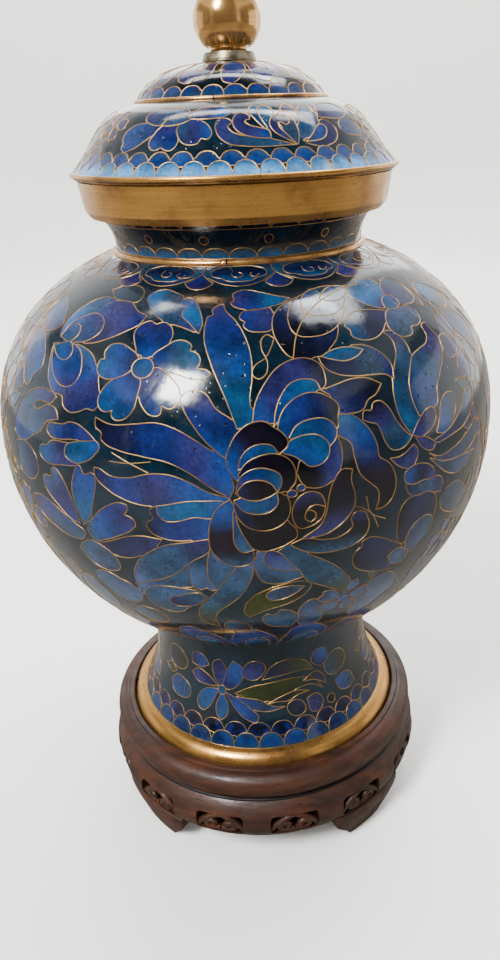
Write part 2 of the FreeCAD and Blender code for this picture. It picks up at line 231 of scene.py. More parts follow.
def neck_surface():
    centre = NECK_R + NECK_FLARE
    top = math.asin(NECK_RISE / NECK_FLARE)
    return Turned([
        (centre - NECK_FLARE * math.cos(a), NECK_BOTTOM + NECK_FLARE * math.sin(a))
        for a in np.linspace(0, top, 30)
    ])


# ---------------------------------------------------------------- pattern

CORNER = 80.0       # a turn sharper than this, in degrees, is a corner of the wire
NEAR = 0.50         # wires closer than this, in mm, are one wire
SNAP = 3 * NEAR     # a wire that ends this close to another, in mm, is drawn on to it
SPREAD_TO = 185.0   # degrees from the front that cells reach to, a little past the back
SEAM = 180.0        # the seam of each mesh is at the back, in degrees from the front
SEAM_GAP = 0.4      # wires stop being edges of the glass this many degrees from the seam
RIM_GAP = 0.05      # and this many mm from the rims
JUMP = 6            # a step longer than this, in degrees or mm, is not along a wire
LIP = 0.8           # mm that the glass turns in at both rims
LIP_COLOUR = (0.01, 0.02, 0.04)
TONE_SPREAD = 0.10  # how much one cell's brightness differs from the next


class Cell:
    """One cell: its outline, the frits it is filled with, and the way they run.

    The way is an angle in degrees from across to up, or None where they run in from the wires.
    """

    def __init__(self, outline, frits, way):
        self.outline = np.array(outline, float)
        self.frits = frits
        self.way = way


def wire_line(points, closed, surface, step):
    """A drawn wire, smooth but for its corners, as closely spaced places."""
    points = np.array(points, float)
    scale = np.array([surface.mm_per_degree(points[:, 1].mean()), 1.0])
    p = points * scale
    count = len(p)
    legs = np.roll(p, -1, 0) - p
    if not closed:
        legs = legs[:-1]
    length = np.maximum(np.hypot(*legs.T), 1e-6)
    ways = legs / length[:, None]
    leave, arrive = [], []
    for i in range(count):
        before = ways[i - 1] if closed or i > 0 else ways[0]
        after = ways[i] if i < len(ways) else ways[-1]
        la = length[i - 1] if closed or i > 0 else length[0]
        lb = length[i] if i < len(length) else length[-1]
        turn = math.degrees(math.acos(max(-1.0, min(1.0, float(before @ after)))))
        if turn > CORNER:
            arrive.append(before)
            leave.append(after)
            continue
        mid = before * lb + after * la
        mid = mid / max(np.hypot(*mid), 1e-9)
        arrive.append(mid)
        leave.append(mid)
    out = [p[:1]]
    for i in range(len(ways)):
        j = (i + 1) % count
        steps = max(2, int(math.ceil(length[i] / step)))
        out.append(hermite(p[i], p[j], leave[i] * length[i], arrive[j] * length[i], steps)[1:])
    return np.vstack(out) / scale


def inside(places, outline):
    """Which places lie inside a closed outline."""
    x, y = places[:, 0], places[:, 1]
    hit = np.zeros(len(places), bool)
    a = outline[:-1]
    b = outline[1:]
    for (ax, ay), (bx, by) in zip(a, b):
        if ay == by:
            continue
        crosses = (ay > y) != (by > y)
        at = (bx - ax) * (y - ay) / (by - ay) + ax
        hit ^= crosses & (x < at)
    return hit


class Pattern:
    """The cells of one surface, from the back of the drawing to its front, and its loose wires."""

    def __init__(self, surface, step):
        self.surface = surface
        self.step = step
        self.cells = []
        self.lines = []

    def add(self, cells, turns=(0.0,)):
        for turn in turns:
            for cell in cells:
                moved = Cell(cell.outline + [turn, 0], cell.frits, cell.way)
                moved.edge = wire_line(moved.outline, True, self.surface, self.step)
                self.cells.append(moved)

    def draw(self, lines, turns=(0.0,)):
        for turn in turns:
            for line in lines:
                line = np.array(line, float) + [turn, 0]
                self.lines.append(wire_line(line, False, self.surface, self.step))

    def spread(self):
        """Every cell, and again one turn round where it reaches across the back."""
        spread = []
        for cell in self.cells:
            low, high = cell.edge[:, 0].min(), cell.edge[:, 0].max()
            for turn in (-360.0, 0.0, 360.0):
                if high + turn > -SPREAD_TO and low + turn < SPREAD_TO:
                    spread.append((cell, cell.edge + [turn, 0]))
        return spread

    def wires(self):
        """The parts of the wires that show, as runs of places."""
        edges = [edge for _, edge in self.spread()]
        boxes = np.array([[*e.min(0), *e.max(0)] for e in edges])
        runs = []
        for i, edge in enumerate(edges):
            runs += self.showing(edge, range(i + 1, len(edges)), edges, boxes)
        return runs + self.lines

    def showing(self, edge, later, edges, boxes):
        """The parts of an edge that no later cell covers, each drawn on to the wire that it meets."""
        low, high = edge.min(0), edge.max(0)
        scale = np.array([self.surface.mm_per_degree(edge[:, 1].mean()), 1.0])
        hidden = np.zeros(len(edge), bool)
        snap = {}
        for j in later:
            outline = edges[j]
            x0, y0, x1, y1 = boxes[j]
            if x0 > high[0] + 1 or x1 < low[0] - 1 or y0 > high[1] + 1 or y1 < low[1] - 1:
                continue
            within = inside(edge, outline)
            hidden |= within
            gap = (edge[:, None, :] - outline[None, :, :]) * scale
            gap = np.hypot(gap[..., 0], gap[..., 1])
            best = gap.argmin(1)
            close = gap[np.arange(len(edge)), best]
            hidden |= close < NEAR
            for k in np.nonzero(within | (close < SNAP))[0]:
                if k not in snap or close[k] < snap[k][0]:
                    snap[k] = (close[k], outline[best[k]])
        runs, run = [], []
        for k in range(len(edge)):
            if not hidden[k]:
                if not run and k > 0 and k - 1 in snap:
                    run.append(snap[k - 1][1])
                run.append(edge[k])
                continue
            if run and k in snap:
                run.append(snap[k][1])
            if len(run) > 1:
                runs.append(np.array(run))
            run = []
        if len(run) > 1:
            runs.append(np.array(run))
        return runs


def frit_colour(frits, t):
    """The colour at t, from 0 to 1, through a row of frits."""
    stops = np.array([FRITS[f] for f in frits])
    if len(stops) == 1:
        return np.repeat(stops, len(t), 0)
    x = np.clip(t, 0, 1) * (len(stops) - 1)
    i = np.minimum(x.astype(int), len(stops) - 2)
    f = (x - i)[:, None]
    f = f * f * (3 - 2 * f)
    return stops[i] * (1 - f) + stops[i + 1] * f


def glass_mesh(name, pattern, runs, step, ground, sink):
    """The enamel coat: every cell meshed up to its wires, and coloured from its frits."""
    surface = pattern.surface
    wide = surface.mm_per_degree(surface.s[surface.r.argmax()])
    scale = np.array([wide, 1.0])
    places, edges = [], []
    for run in runs:
        run = run[(np.abs(run[:, 0]) < SEAM - SEAM_GAP)]
        run = run[(run[:, 1] > surface.low + RIM_GAP) & (run[:, 1] < surface.high - RIM_GAP)]
        for k, place in enumerate(run):
            if k and np.abs(place - run[k - 1]).max() < JUMP:
                edges.append((len(places) - 1, len(places)))
            places.append(place)
    tree = KDTree(max(1, len(places)))
    for i, place in enumerate(places):
        tree.insert((place[0] * wide, place[1], 0), i)
    tree.balance()
    rows = np.linspace(surface.low, surface.high, max(3, int((surface.high - surface.low) / step) + 1))
    rng = random.Random(5)
    for j, s in enumerate(rows):
        round_count = max(48, int(360 * surface.mm_per_degree(s) / step))
        border = j in (0, len(rows) - 1)
        for i in range(round_count + 1):
            a = -SEAM + 360 * i / round_count
            rim = border or i in (0, round_count)
            if not rim:
                a += 180 / round_count * (j % 2)
                if a >= SEAM - 0.5 or tree.find((a * wide, s, 0))[2] < 0.4 * step:
                    continue
            places.append(np.array([a, s]))
    places = np.array(places)
    flat = [Vector(p) for p in places * scale]
    verts, _, faces, _, _, _ = delaunay_2d_cdt(flat, edges, [], 0, 1e-5, False)
    verts = np.array([tuple(v) for v in verts]) / scale
    faces = np.array([tuple(f) for f in faces])
    corners = verts[faces]
    centres = corners.mean(1)
    x, y = centres.T
    cell_of = np.full(len(faces), -1)
    spread = pattern.spread()
    for i, (cell, edge) in enumerate(spread):
        x0, y0 = edge.min(0)
        x1, y1 = edge.max(0)
        near = np.nonzero((x > x0) & (x < x1) & (y > y0) & (y < y1))[0]
        cell_of[near[inside(centres[near], edge)]] = i
    colours = np.zeros((len(faces), 3, 3))
    colours[cell_of < 0] = ground(corners[cell_of < 0].reshape(-1, 2)).reshape(-1, 3, 3)
    for i, (cell, edge) in enumerate(spread):
        mine = np.nonzero(cell_of == i)[0]
        if not len(mine):
            continue
        k = np.array([surface.mm_per_degree(edge[:, 1].mean()), 1.0])
        p = corners[mine].reshape(-1, 2) * k
        e = edge * k
        if cell.way is None:
            gap = np.hypot(*(p[:, None, :] - e[None, :, :]).transpose(2, 0, 1)).min(1)
            t = gap / max(gap.max(), 0.6)
        else:
            a = math.radians(cell.way)
            w = np.array([math.cos(a), math.sin(a)])
            low, high = (e @ w).min(), (e @ w).max()
            t = (p @ w - low) / max(high - low, 1e-6)
        tone = 1 + TONE_SPREAD * (rng.random() - 0.5)
        colours[mine] = (frit_colour(cell.frits, t) * tone).reshape(-1, 3, 3)
    points = surface.points(verts, sink)
    seam = {}
    remap = np.arange(len(verts))
    for i, (a, s) in enumerate(verts):
        if abs(abs(a) - 180) < 1e-4:
            remap[i] = seam.setdefault(round(float(s), 3), i)
    faces = remap[faces]
    keep = (faces[:, 0] != faces[:, 1]) & (faces[:, 1] != faces[:, 2]) & (faces[:, 0] != faces[:, 2])
    faces, colours = faces[keep], colours[keep]
    used, faces = np.unique(faces, return_inverse=True)
    faces = faces.reshape(-1, 3)
    points, places = points[used], verts[used]
    normals = surface.normals(places)
    a, b, c = points[faces].transpose(1, 0, 2)
    flip = (np.cross(b - a, c - a) * normals[faces[:, 0]]).sum(1) < 0
    faces[flip] = faces[flip][:, ::-1]
    colours[flip] = colours[flip][:, ::-1]
    return lipped_mesh(name, points, places, normals, faces, colours, surface, sink)


def lipped_mesh(name, points, places, normals, faces, colours, surface, sink):
    """The coat's mesh, with a lip turned in at both rims so that its thickness shows."""
    points, faces, colours, normals = (list(map(tuple, x)) for x in (points, faces, colours, normals))
    for rim, side in ((surface.low, -1), (surface.high, 1)):
        ring = [i for i, p in enumerate(places) if abs(p[1] - rim) < 1e-4]
        ring.sort(key=lambda i: places[i][0])
        inner = surface.points(places[ring], sink + LIP)
        start = len(points)
        points += list(map(tuple, inner))
        normals += [normals[i] for i in ring]
        for k in range(len(ring)):
            n = (k + 1) % len(ring)
            a, b, c, d = ring[k], ring[n], start + n, start + k
            for face in ((a, c, b), (a, d, c)) if side < 0 else ((a, b, c), (a, c, d)):
                faces.append(face)
                colours.append((LIP_COLOUR,) * 3)
    mesh = bpy.data.meshes.new(name)
    mesh.from_pydata(points, [], faces)
    mesh.polygons.foreach_set("use_smooth", [True] * len(mesh.polygons))
    layer = mesh.color_attributes.new("Frit", "FLOAT_COLOR", "CORNER")
    flat = np.ones((len(faces) * 3, 4), np.float32)
    flat[:, :3] = np.array(colours, np.float32).reshape(-1, 3)
    layer.data.foreach_set("color", flat.ravel())
    mesh.normals_split_custom_set_from_vertices(normals)
    return new_piece(name, mesh)


def new_piece(name, mesh):
    piece = bpy.data.objects.new(name, mesh)
    bpy.context.scene.collection.objects.link(piece)
    return piece


# ---------------------------------------------------------------- wires by Geometry Nodes

def wire_tree(material):
    """Lays a round wire along every edge of a mesh."""
    tree = bpy.data.node_groups.new("Cloison Wire", "GeometryNodeTree")
    face = tree.interface
    face.new_socket("Geometry", in_out="INPUT", socket_type="NodeSocketGeometry")
    face.new_socket("Wire Radius", in_out="INPUT", socket_type="NodeSocketFloat")
    face.new_socket("Sides", in_out="INPUT", socket_type="NodeSocketInt")
    face.new_socket("Geometry", in_out="OUTPUT", socket_type="NodeSocketGeometry")
    start = add_node(tree, "NodeGroupInput")
    curve = add_node(tree, "GeometryNodeMeshToCurve", links={0: start.outputs["Geometry"]})
    ring = add_node(tree, "GeometryNodeCurvePrimitiveCircle", links={
        "Resolution": start.outputs["Sides"], "Radius": start.outputs["Wire Radius"]})
    tube = add_node(tree, "GeometryNodeCurveToMesh", links={
        "Curve": curve.outputs[0], "Profile Curve": ring.outputs[0]})
    tube.inputs["Fill Caps"].default_value = True
    smooth = add_node(tree, "GeometryNodeSetShadeSmooth", links={0: tube.outputs[0]})
    real = add_node(tree, "GeometryNodeRealizeInstances", links={0: smooth.outputs[0]})
    paint = add_node(tree, "GeometryNodeSetMaterial", links={"Geometry": real.outputs[0]})
    paint.inputs["Material"].default_value = material
    end = add_node(tree, "NodeGroupOutput")
    tree.links.new(paint.outputs[0], end.inputs[0])
    return tree


def add_node(tree, kind, settings=None, values=None, links=None):
    """Adds a node with its settings, its socket values and its links."""
    node = tree.nodes.new(kind)
    for key, value in (settings or {}).items():
        setattr(node, key, value)
    for key, value in (values or {}).items():
        node.inputs[key].default_value = value
    for key, socket in (links or {}).items():
        tree.links.new(socket, node.inputs[key])
    return node


WIRE_SIDES = 5


def set_modifier(modifier, values):
    """Sets a node modifier's inputs by their names."""
    for item in modifier.node_group.interface.items_tree:
        if item.item_type == "SOCKET" and item.in_out == "INPUT" and item.name in values:
            modifier[item.identifier] = values[item.name]


def laid_wires(name, surface, runs, depth, radius, material, sides):
    """Round wires along runs of places, as one piece whose middle lies depth mm below the surface."""
    points, edges = [], []
    for run in runs:
        run = run[(run[:, 1] >= surface.low - 0.01) & (run[:, 1] <= surface.high + 0.01)]
        run = run[(run[:, 0] >= -180) & (run[:, 0] < 180.6)]
        if len(run) < 2:
            continue
        place = surface.points(run, depth)
        for k in range(1, len(run)):
            if np.abs(run[k] - run[k - 1]).max() < JUMP:
                edges.append((len(points) + k - 1, len(points) + k))
        points += list(map(tuple, place))
    mesh = bpy.data.meshes.new(name + " path")
    mesh.from_pydata(points, edges, [])
    path = new_piece(name + ".path", mesh)
    modifier = path.modifiers.new("Wire", "NODES")
    modifier.node_group = wire_tree(material)
    set_modifier(modifier, {"Wire Radius": radius, "Sides": sides})
    bpy.context.view_layer.update()
    laid = bpy.data.meshes.new_from_object(path.evaluated_get(bpy.context.evaluated_depsgraph_get()))
    laid.name = name
    bpy.data.objects.remove(path)
    if not len(laid.polygons):
        raise RuntimeError(name + " has no faces")
    return new_piece(name, laid)


def paint(piece, material):
    """Puts one material on a piece or a carried-over node."""
    if not len(piece.material_slots):
        piece.data.materials.append(material)
    for slot in piece.material_slots:
        slot.material = material


def fitted(piece, body):
    """Fixes a piece to its body."""
    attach(piece, body)


def enamel_surface(name, surface, make_pattern, ground, body, nodes):
    """Builds the glass and the wires of one surface, and sets them in place of the plain coat."""
    settings = bpy.context.scene.jar_enamel
    radius = settings.wire_width / 2
    proud = settings.wire_proud / MM
    pattern = make_pattern(surface, settings.wire_step / MM)
    runs = pattern.wires()
    glass = glass_mesh(name + "_glass", pattern, runs, settings.glass_step / MM, ground, proud)
    paint(glass, enamel_material())
    wires = laid_wires(name + "_wires", surface, runs, radius / MM, radius, wire_material(), WIRE_SIDES)
    fitted(glass, body)
    fitted(wires, body)
    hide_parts(*nodes)


# ---------------------------------------------------------------- motifs

# Half the width of a scale is 1 across, and its height is 1 up.
SCALE = [
    (-1, 0), (-0.93, 0.45), (-0.55, 0.88), (0, 1), (0.55, 0.88), (0.93, 0.45), (1, 0), (0, -0.05),
]


def scale_row(count, centre, low, apex, frits, way):
    """A row of round-topped scales round the jar, one of them centred at a given angle."""
    pitch = 360.0 / count
    cells = []
    for i in range(count):
        a = (centre + i * pitch + 180) % 360 - 180
        outline = [(a + u * (pitch / 2), low + v * (apex - low)) for u, v in SCALE]
        cells.append(Cell(outline, frits, way))
    return cells


def disc(a, s, wide, high):
    """The outline of a small round cell."""
    turns = np.linspace(0, 2 * math.pi, 9)[:-1]
    return [(a + wide * math.cos(t), s + high * math.sin(t)) for t in turns]


PETAL = [
    (0.16, 0), (0.5, -0.30), (0.82, -0.31), (1.0, -0.15), (0.92, 0), (1.0, 0.15), (0.82, 0.31),
    (0.5, 0.30),
]
LEAF = [(0, 0), (0.25, 0.17), (0.6, 0.21), (1.0, 0), (0.65, -0.17), (0.3, -0.19)]


def placed(shape, a, s, long, turn, degree):
    """A small shape drawn at a place, long in mm and turned in degrees, where one degree is so many mm."""
    t = math.radians(turn)
    across, up = math.cos(t), math.sin(t)
    return [
        (a + long * (u * across - v * up) / degree, s + long * (u * up + v * across))
        for u, v in shape]


def blossom(a, s, long, turn, frits, degree, petals=5):
    """A small open flower with a round eye."""
    cells = [
        Cell(placed(PETAL, a, s, long, turn + 360 * k / petals, degree), frits, turn + 360 * k / petals)
        for k in range(petals)]
    return cells + [Cell(disc(a, s, 0.2 * long / degree, 0.2 * long), "bt", None)]


# Flowers and leaves that fill the ground between the three repeats
BETWEEN = (
    blossom(62, 34, 11.5, 100, "bcv", 1.35) + blossom(69, -13, 10.5, 75, "sbv", 1.45)
    + blossom(58, 8, 8, 60, "cvb", 1.49) + blossom(52, -27, 8, 100, "psb", 1.38)
    + blossom(24, -37, 8.5, 80, "sps", 1.32) + [
        Cell(placed(LEAF, a, s, long, turn, 1.4), frits, turn) for a, s, long, turn, frits in (
            (60, 20, 10, 150, "gs"), (63, 20, 10, 30, "st"), (64, 5, 11, -60, "gs"), (67, 2, 9, 20, "sb"),
            (61, 48, 13, 70, "sb"), (64, 47, 12, 25, "gs"), (58, 49, 12, 120, "vs"), (60, -6, 10, -120, "gs"),
            (62, -26, 12, -100, "sp"), (66, -27, 12, -60, "gs"), (75, -27, 11, -20, "sb"),
            (30, -22, 9, -90, "gs"),
        )])
BETWEEN_LINES = [
    [(61.5, 21.5), (60.5, 16), (62, 10), (64.5, 4), (66, -3), (67.5, -10)],
    [(62, 36), (61, 42), (61, 48)],
    [(69, -14), (66, -22), (63, -26)],
]

# The front of the belly: degrees round from the front, and mm up the wall from its widest part.
PEONY = [
    # lower fan of petals
    Cell([(-21, -27.5), (-17, -24.7), (-13, -22), (-9.5, -18), (-8, -15.5), (-8.4, -21), (-8, -25.6),
          (-13, -26.4), (-17.5, -27.6), (-19.6, -31), (-21, -33)], "ps", 60),
    Cell([(11.2, -10.3), (14, -13.5), (17.5, -17), (20.5, -20.5), (23, -25), (24.7, -29), (24.2, -31.7),
          (25, -34.5), (22, -32), (18.5, -28.5), (15, -25), (13.5, -21.5), (11.3, -17), (8.8, -12.3)],
         "gss", 100),
    Cell([(5, -12), (4.6, -16), (4.8, -20), (6, -23.3), (9, -24.7), (14, -22.9), (13, -19.8), (11.2, -16.6),
          (8.8, -12.3)], "sp", 80),
    Cell([(7, -12), (6.3, -15), (7.5, -17.8), (9.5, -19.3), (13, -19.8), (11.2, -16.6), (8.8, -12.3)],
         "pv", 90),
    Cell([(4.4, -12), (4.4, -16), (4, -20), (2.8, -25), (1, -29.5), (-1.8, -34), (-4.5, -38.5),
          (-5.2, -42), (-4.8, -47), (-7.5, -45.5), (-8.8, -41), (-8.2, -36), (-5.8, -31), (-2.5, -25),
          (0.9, -17.2)], "gsp", 80),
    Cell([(-3.7, -11), (-4.3, -15), (-4.7, -19), (-4.5, -23), (-3, -25.7), (0.9, -17.2), (-1.2, -15.5),
          (-2.8, -13)], "sp", 90),
    Cell([(-3.7, -11), (-7.8, -15.2), (-8.4, -19), (-8.6, -22.5), (-7.8, -25.8), (-6.4, -26.4),
          (-5.5, -25.6), (-4.6, -26.7), (-3.1, -25.9), (-4.5, -23), (-4.7, -18), (-4.3, -14)], "ps", 90),
    Cell([(2.3, -40.8), (1.6, -38), (2, -34), (3.5, -30), (6.5, -27), (10, -25.2), (14, -24.8),
          (15.8, -26.5), (15.2, -29.5), (13, -33), (9.5, -35.7), (6, -37.5), (3.8, -39.5)], "gge", 40),
    Cell([(7, -28), (6.5, -30), (7.5, -32), (9.5, -32.2), (12, -30.5), (14.5, -27), (12, -26.2),
          (9, -26.7)], "ps", 30),
    Cell([(-19.8, -35), (-19.6, -30), (-18, -27.7), (-14.5, -26.3), (-10, -26.6), (-7.2, -27.3),
          (-5.6, -29.6), (-7.5, -33), (-10.5, -36), (-13, -39), (-16, -39.5)], "sp", 20),
    Cell([(-14.4, -33.2), (-13.5, -31), (-11.9, -30.4), (-10, -28.9), (-7, -28.3), (-5.7, -29.8),
          (-7.5, -33), (-10.5, -35.2), (-13.8, -35.2)], "ns", 30),
    # long petals to the left
    Cell([(-25.6, 25), (-22.5, 23.8), (-17, 24.5), (-12.5, 25.2), (-8.5, 23.7), (-5, 21), (-2.5, 18.7),
          (0.3, 16.2), (1.2, 11.5), (1.6, 8), (0.8, 5.6), (-0.8, 6.7), (-3, 8.8), (-6, 12), (-10, 14.8),
          (-15, 16), (-20, 17), (-23, 18.3), (-24, 19.6), (-23.9, 21), (-25.3, 22.3)], "kncvb", 0),
    Cell([(-25.6, 11.2), (-24.6, 11.2), (-22, 9.6), (-18, 9.8), (-14, 11.4), (-10, 11.5), (-6.5, 9.8),
          (-3, 7), (0.8, 5.3), (-0.8, 3.8), (-3.5, 4.5), (-7, 4.2), (-11, 2.9), (-14.5, 2.1), (-19, 3),
          (-23, 5.6), (-25.4, 8.8)], "ncvbb", 0),
    Cell([(-13.2, 2.4), (-14.4, 0.8), (-13.8, -1.5), (-15.3, -3.3), (-14.6, -6), (-12.5, -7.7),
          (-10, -8.2), (-6, -7.5), (-3.6, -7), (-3.4, -3.5), (-2.5, -0.4), (-6, -0.5), (-9.5, -2),
          (-11.5, -2), (-12.8, -0.3)], "kccb", 0),
    Cell([(-12.9, 2.3), (-12.8, -0.3), (-11.5, -2), (-9.5, -2), (-6, -0.5), (-2.5, -0.3), (-1.4, 1.8),
          (0.8, 4.5), (-3.5, 4.5), (-7, 4.2), (-11, 2.9)], "ttb", 0),
    Cell([(-3.7, -7.2), (-8, -8.6), (-12.5, -10.2), (-16, -13.2), (-19, -17.5), (-20.6, -22),
          (-21.3, -27.2), (-17, -24.6), (-13, -22), (-9.8, -18.5), (-7.5, -15.2), (-3.7, -10.6)], "psv", 30),
    # tall petals above
    Cell([(0.2, 16.4), (-3, 20.5), (-5.5, 25), (-7.3, 29), (-8, 32), (-6, 34), (-3.5, 33.5), (-1.3, 29.5),
          (2.7, 23.8), (1.2, 20)], "bcv", 90),
    Cell([(2.7, 23.8), (0.6, 32), (-2.5, 42), (-4.2, 49), (-4.2, 54), (-3.9, 56), (-2.7, 56.6),
          (-3, 58.4), (-1.8, 60), (-0.1, 60.6), (0.2, 58.9), (3, 54.5), (5.1, 49), (6.1, 43), (6, 37),
          (5.3, 31), (5.5, 25.5)], "ttbcv", 90),
    # curled petals to the right
    Cell([(21.8, 24.8), (21, 20.5), (23.5, 17), (24.1, 12.5), (25.2, 7.5), (27.2, 4.5), (28.8, 1.8),
          (28.9, -1.5), (28.3, -4), (30, -3.9), (31.9, -2), (32.8, 1.5), (32.5, 6), (31, 9.6),
          (29.3, 11.5), (29, 15), (28, 19), (26.5, 22), (24.5, 24.3)], "kkmcbt", 90),
    Cell([(19.2, 32), (22.5, 33), (26, 33.8), (29.5, 33.3), (32.4, 31), (30.5, 28.5), (28.4, 27.3),
          (27.4, 25.5), (24, 24.7), (21.8, 25.1), (22, 28), (20.8, 30.5)], "cnk", 0),
    Cell([(20.2, 41.2), (24, 43), (28.5, 43.2), (32, 42.3), (34.8, 39.6), (36.3, 36), (35.8, 31.3),
          (34.3, 33), (31, 33.8), (27, 34.4), (23.5, 35.6), (21, 38)], "knsc", 0),
    Cell([(20.8, 41.2), (23, 40), (26, 39), (29, 39.8), (30.9, 41.3), (29, 42.4), (26, 43), (23, 42.4)],
         "tt", 0),
    Cell([(5.6, 25.5), (6.2, 30), (8.2, 35), (11, 39.2), (14.5, 41.3), (18, 41.1), (20.2, 39),
          (20.7, 36), (20.3, 33.2), (19.2, 32), (16, 31.6), (13, 30), (11, 27.6), (10, 24), (8, 25.4)],
         "bvvk", 30),
    Cell([(9.4, 23.7), (10, 28), (11.3, 31.8), (13.5, 34.9), (16.3, 35.6), (18.6, 34.6), (19.2, 32.2),
          (16, 31.8), (13, 30), (11, 27)], "bt", 20),
    Cell([(10.2, 24.3), (11.3, 27.8), (13.7, 30.6), (17, 31.8), (20, 30.6), (22.2, 26.8), (21.8, 24.9),
          (21.2, 20.5), (19.3, 17.8), (12, 20.5), (10, 22.5)], "bcnk", 0),
    Cell([(13.5, 14), (13.1, 10.5), (14.2, 7.4), (16.8, 6.1), (19.3, 7.3), (21.3, 11), (21.7, 15.5),
          (20.8, 20.5), (19.5, 23.5), (17, 22)], "kkvc", 0),
    Cell([(12, 20.6), (13.4, 23.4), (17, 24.9), (19.5, 24.3), (21, 22), (20.8, 19), (19, 17)], "tb", 0),
    Cell([(10, 17), (12, 19.7), (15, 20.9), (17.8, 20.2), (19.3, 17.8), (19, 14.5), (17, 12.4),
          (15.3, 12.5), (14.1, 14), (13, 15.3)], "bt", 60),
    Cell([(23.5, 9.8), (21.5, 10.3), (19.8, 7.5), (18.7, 3), (18.3, -1), (17.4, -4.5), (13.5, -8.8),
          (18.3, -8.4), (22, -5), (23.8, -1), (23.9, 2.5), (23.2, 7)], "vkm", 90),
    Cell([(13.5, -9), (18, -10.2), (21, -10.2), (23.5, -7.5), (23.2, -4.5), (24, -3.3), (26, -3.8),
          (26.6, -5.5), (27.1, -8), (26.6, -11.5), (24, -14.2), (20, -15), (16, -14.3), (13, -12.3),
          (11.3, -10.3)], "skn", 90),
    Cell([(12.2, -3.5), (11.8, 0), (12.7, 3.5), (15, 5.4), (17.2, 4.2), (18, 1), (17.4, -2.8),
          (15, -5.2), (12.8, -5)], "mkv", 90),
    # layered heart
    Cell([(0.8, 5), (-1.5, 2.5), (-3, -1.5), (-3.6, -6.5), (-3.4, -11), (-2, -14), (0, -16.3),
          (2, -16.8), (3.8, -15.8), (4.5, -12.5), (4.3, -11.2), (2.4, -11.8), (1.2, -8), (1, -3), (1.4, 2)],
         "smmbb", 90),
    Cell([(1.2, 2), (1, -4), (1.1, -9), (2.4, -11.8), (4.7, -11), (3.2, -7.5), (2, -3)], "sb", 90),
    Cell([(1.3, 3.5), (2, -3), (3.2, -7.5), (4.7, -11), (6.5, -11.8), (8.8, -11.2), (11, -9.8),
          (12.6, -7.8), (12.5, -5.5), (11.3, -3.2), (10, 2)], "kmmk", 30),
    Cell([(0.4, 15.5), (1, 18.8), (2.7, 22.8), (5.5, 25.3), (8.2, 25.1), (9.3, 23.8), (10.9, 22),
          (11.8, 19.5), (10, 16.5), (6, 13), (2, 10)], "bmk", 30),
    Cell([(2.5, 13), (3, 16), (4.5, 18.5), (7, 19.6), (9, 18.8), (9.8, 17), (7, 15)], "bt", 0),
    Cell([(2.4, 11.5), (3.8, 14.5), (6.5, 16.5), (9.5, 16.7), (12, 14.5), (12.8, 11), (12.4, 8),
          (11, 6.5), (8, 6)], "nmk", 0),
    Cell([(1.3, 4.5), (1.8, 0), (3, -2.8), (5.5, -4.8), (8.5, -4.6), (10.8, -2.2), (11.5, 1), (11.2, 4),
          (9.4, 6.4)], "nkk", 0),
    Cell([(1.8, 6.5), (2.8, 11), (5, 13), (8, 12.8), (10, 10.8), (10.1, 8.5), (9.2, 6.2)], "vbt", 0),
    Cell([(1.4, 4.5), (3, 1.4), (5.5, 0.2), (8, 0.8), (9.3, 3), (9.2, 6.2), (5, 6.4)], "btb", 0),
    Cell([(2.2, 6.2), (3, 8.7), (5.5, 10), (8.2, 8.7), (9.3, 6.3), (7.6, 4.9), (5, 4.2), (3.2, 5)],
         "nmk", 0),
    Cell(disc(11.9, 5.4, 0.95, 1.05), "c", 0),
    Cell(disc(13.6, 6.8, 0.8, 0.95), "b", 0),
]
PEONY_LINES = [
    [(14.8, 0), (15.8, -0.5), (16.2, -2.5), (15.2, -3.8), (14.2, -2.5), (14.5, -0.2), (16, 1.3), (17.9, 0.4)],
    [(24, -1.3), (26, -3), (27.3, -4.6), (28.3, -7), (29.2, -10)],
    [(26.2, 1), (27.3, -4.6), (30.8, -8)],
    [(-21.5, 16.2), (-18, 14), (-14, 11.7)],
    [(-22, 13.7), (-18, 13.8), (-13.5, 14.8)],
    [(11.5, 48), (10, 49.3), (8.7, 48), (8.4, 45.5), (9.4, 41), (8.6, 37.5), (7.3, 36.6), (6.1, 38),
     (6.7, 40.3), (9, 42.3), (10.6, 45.5), (11.5, 48)],
]

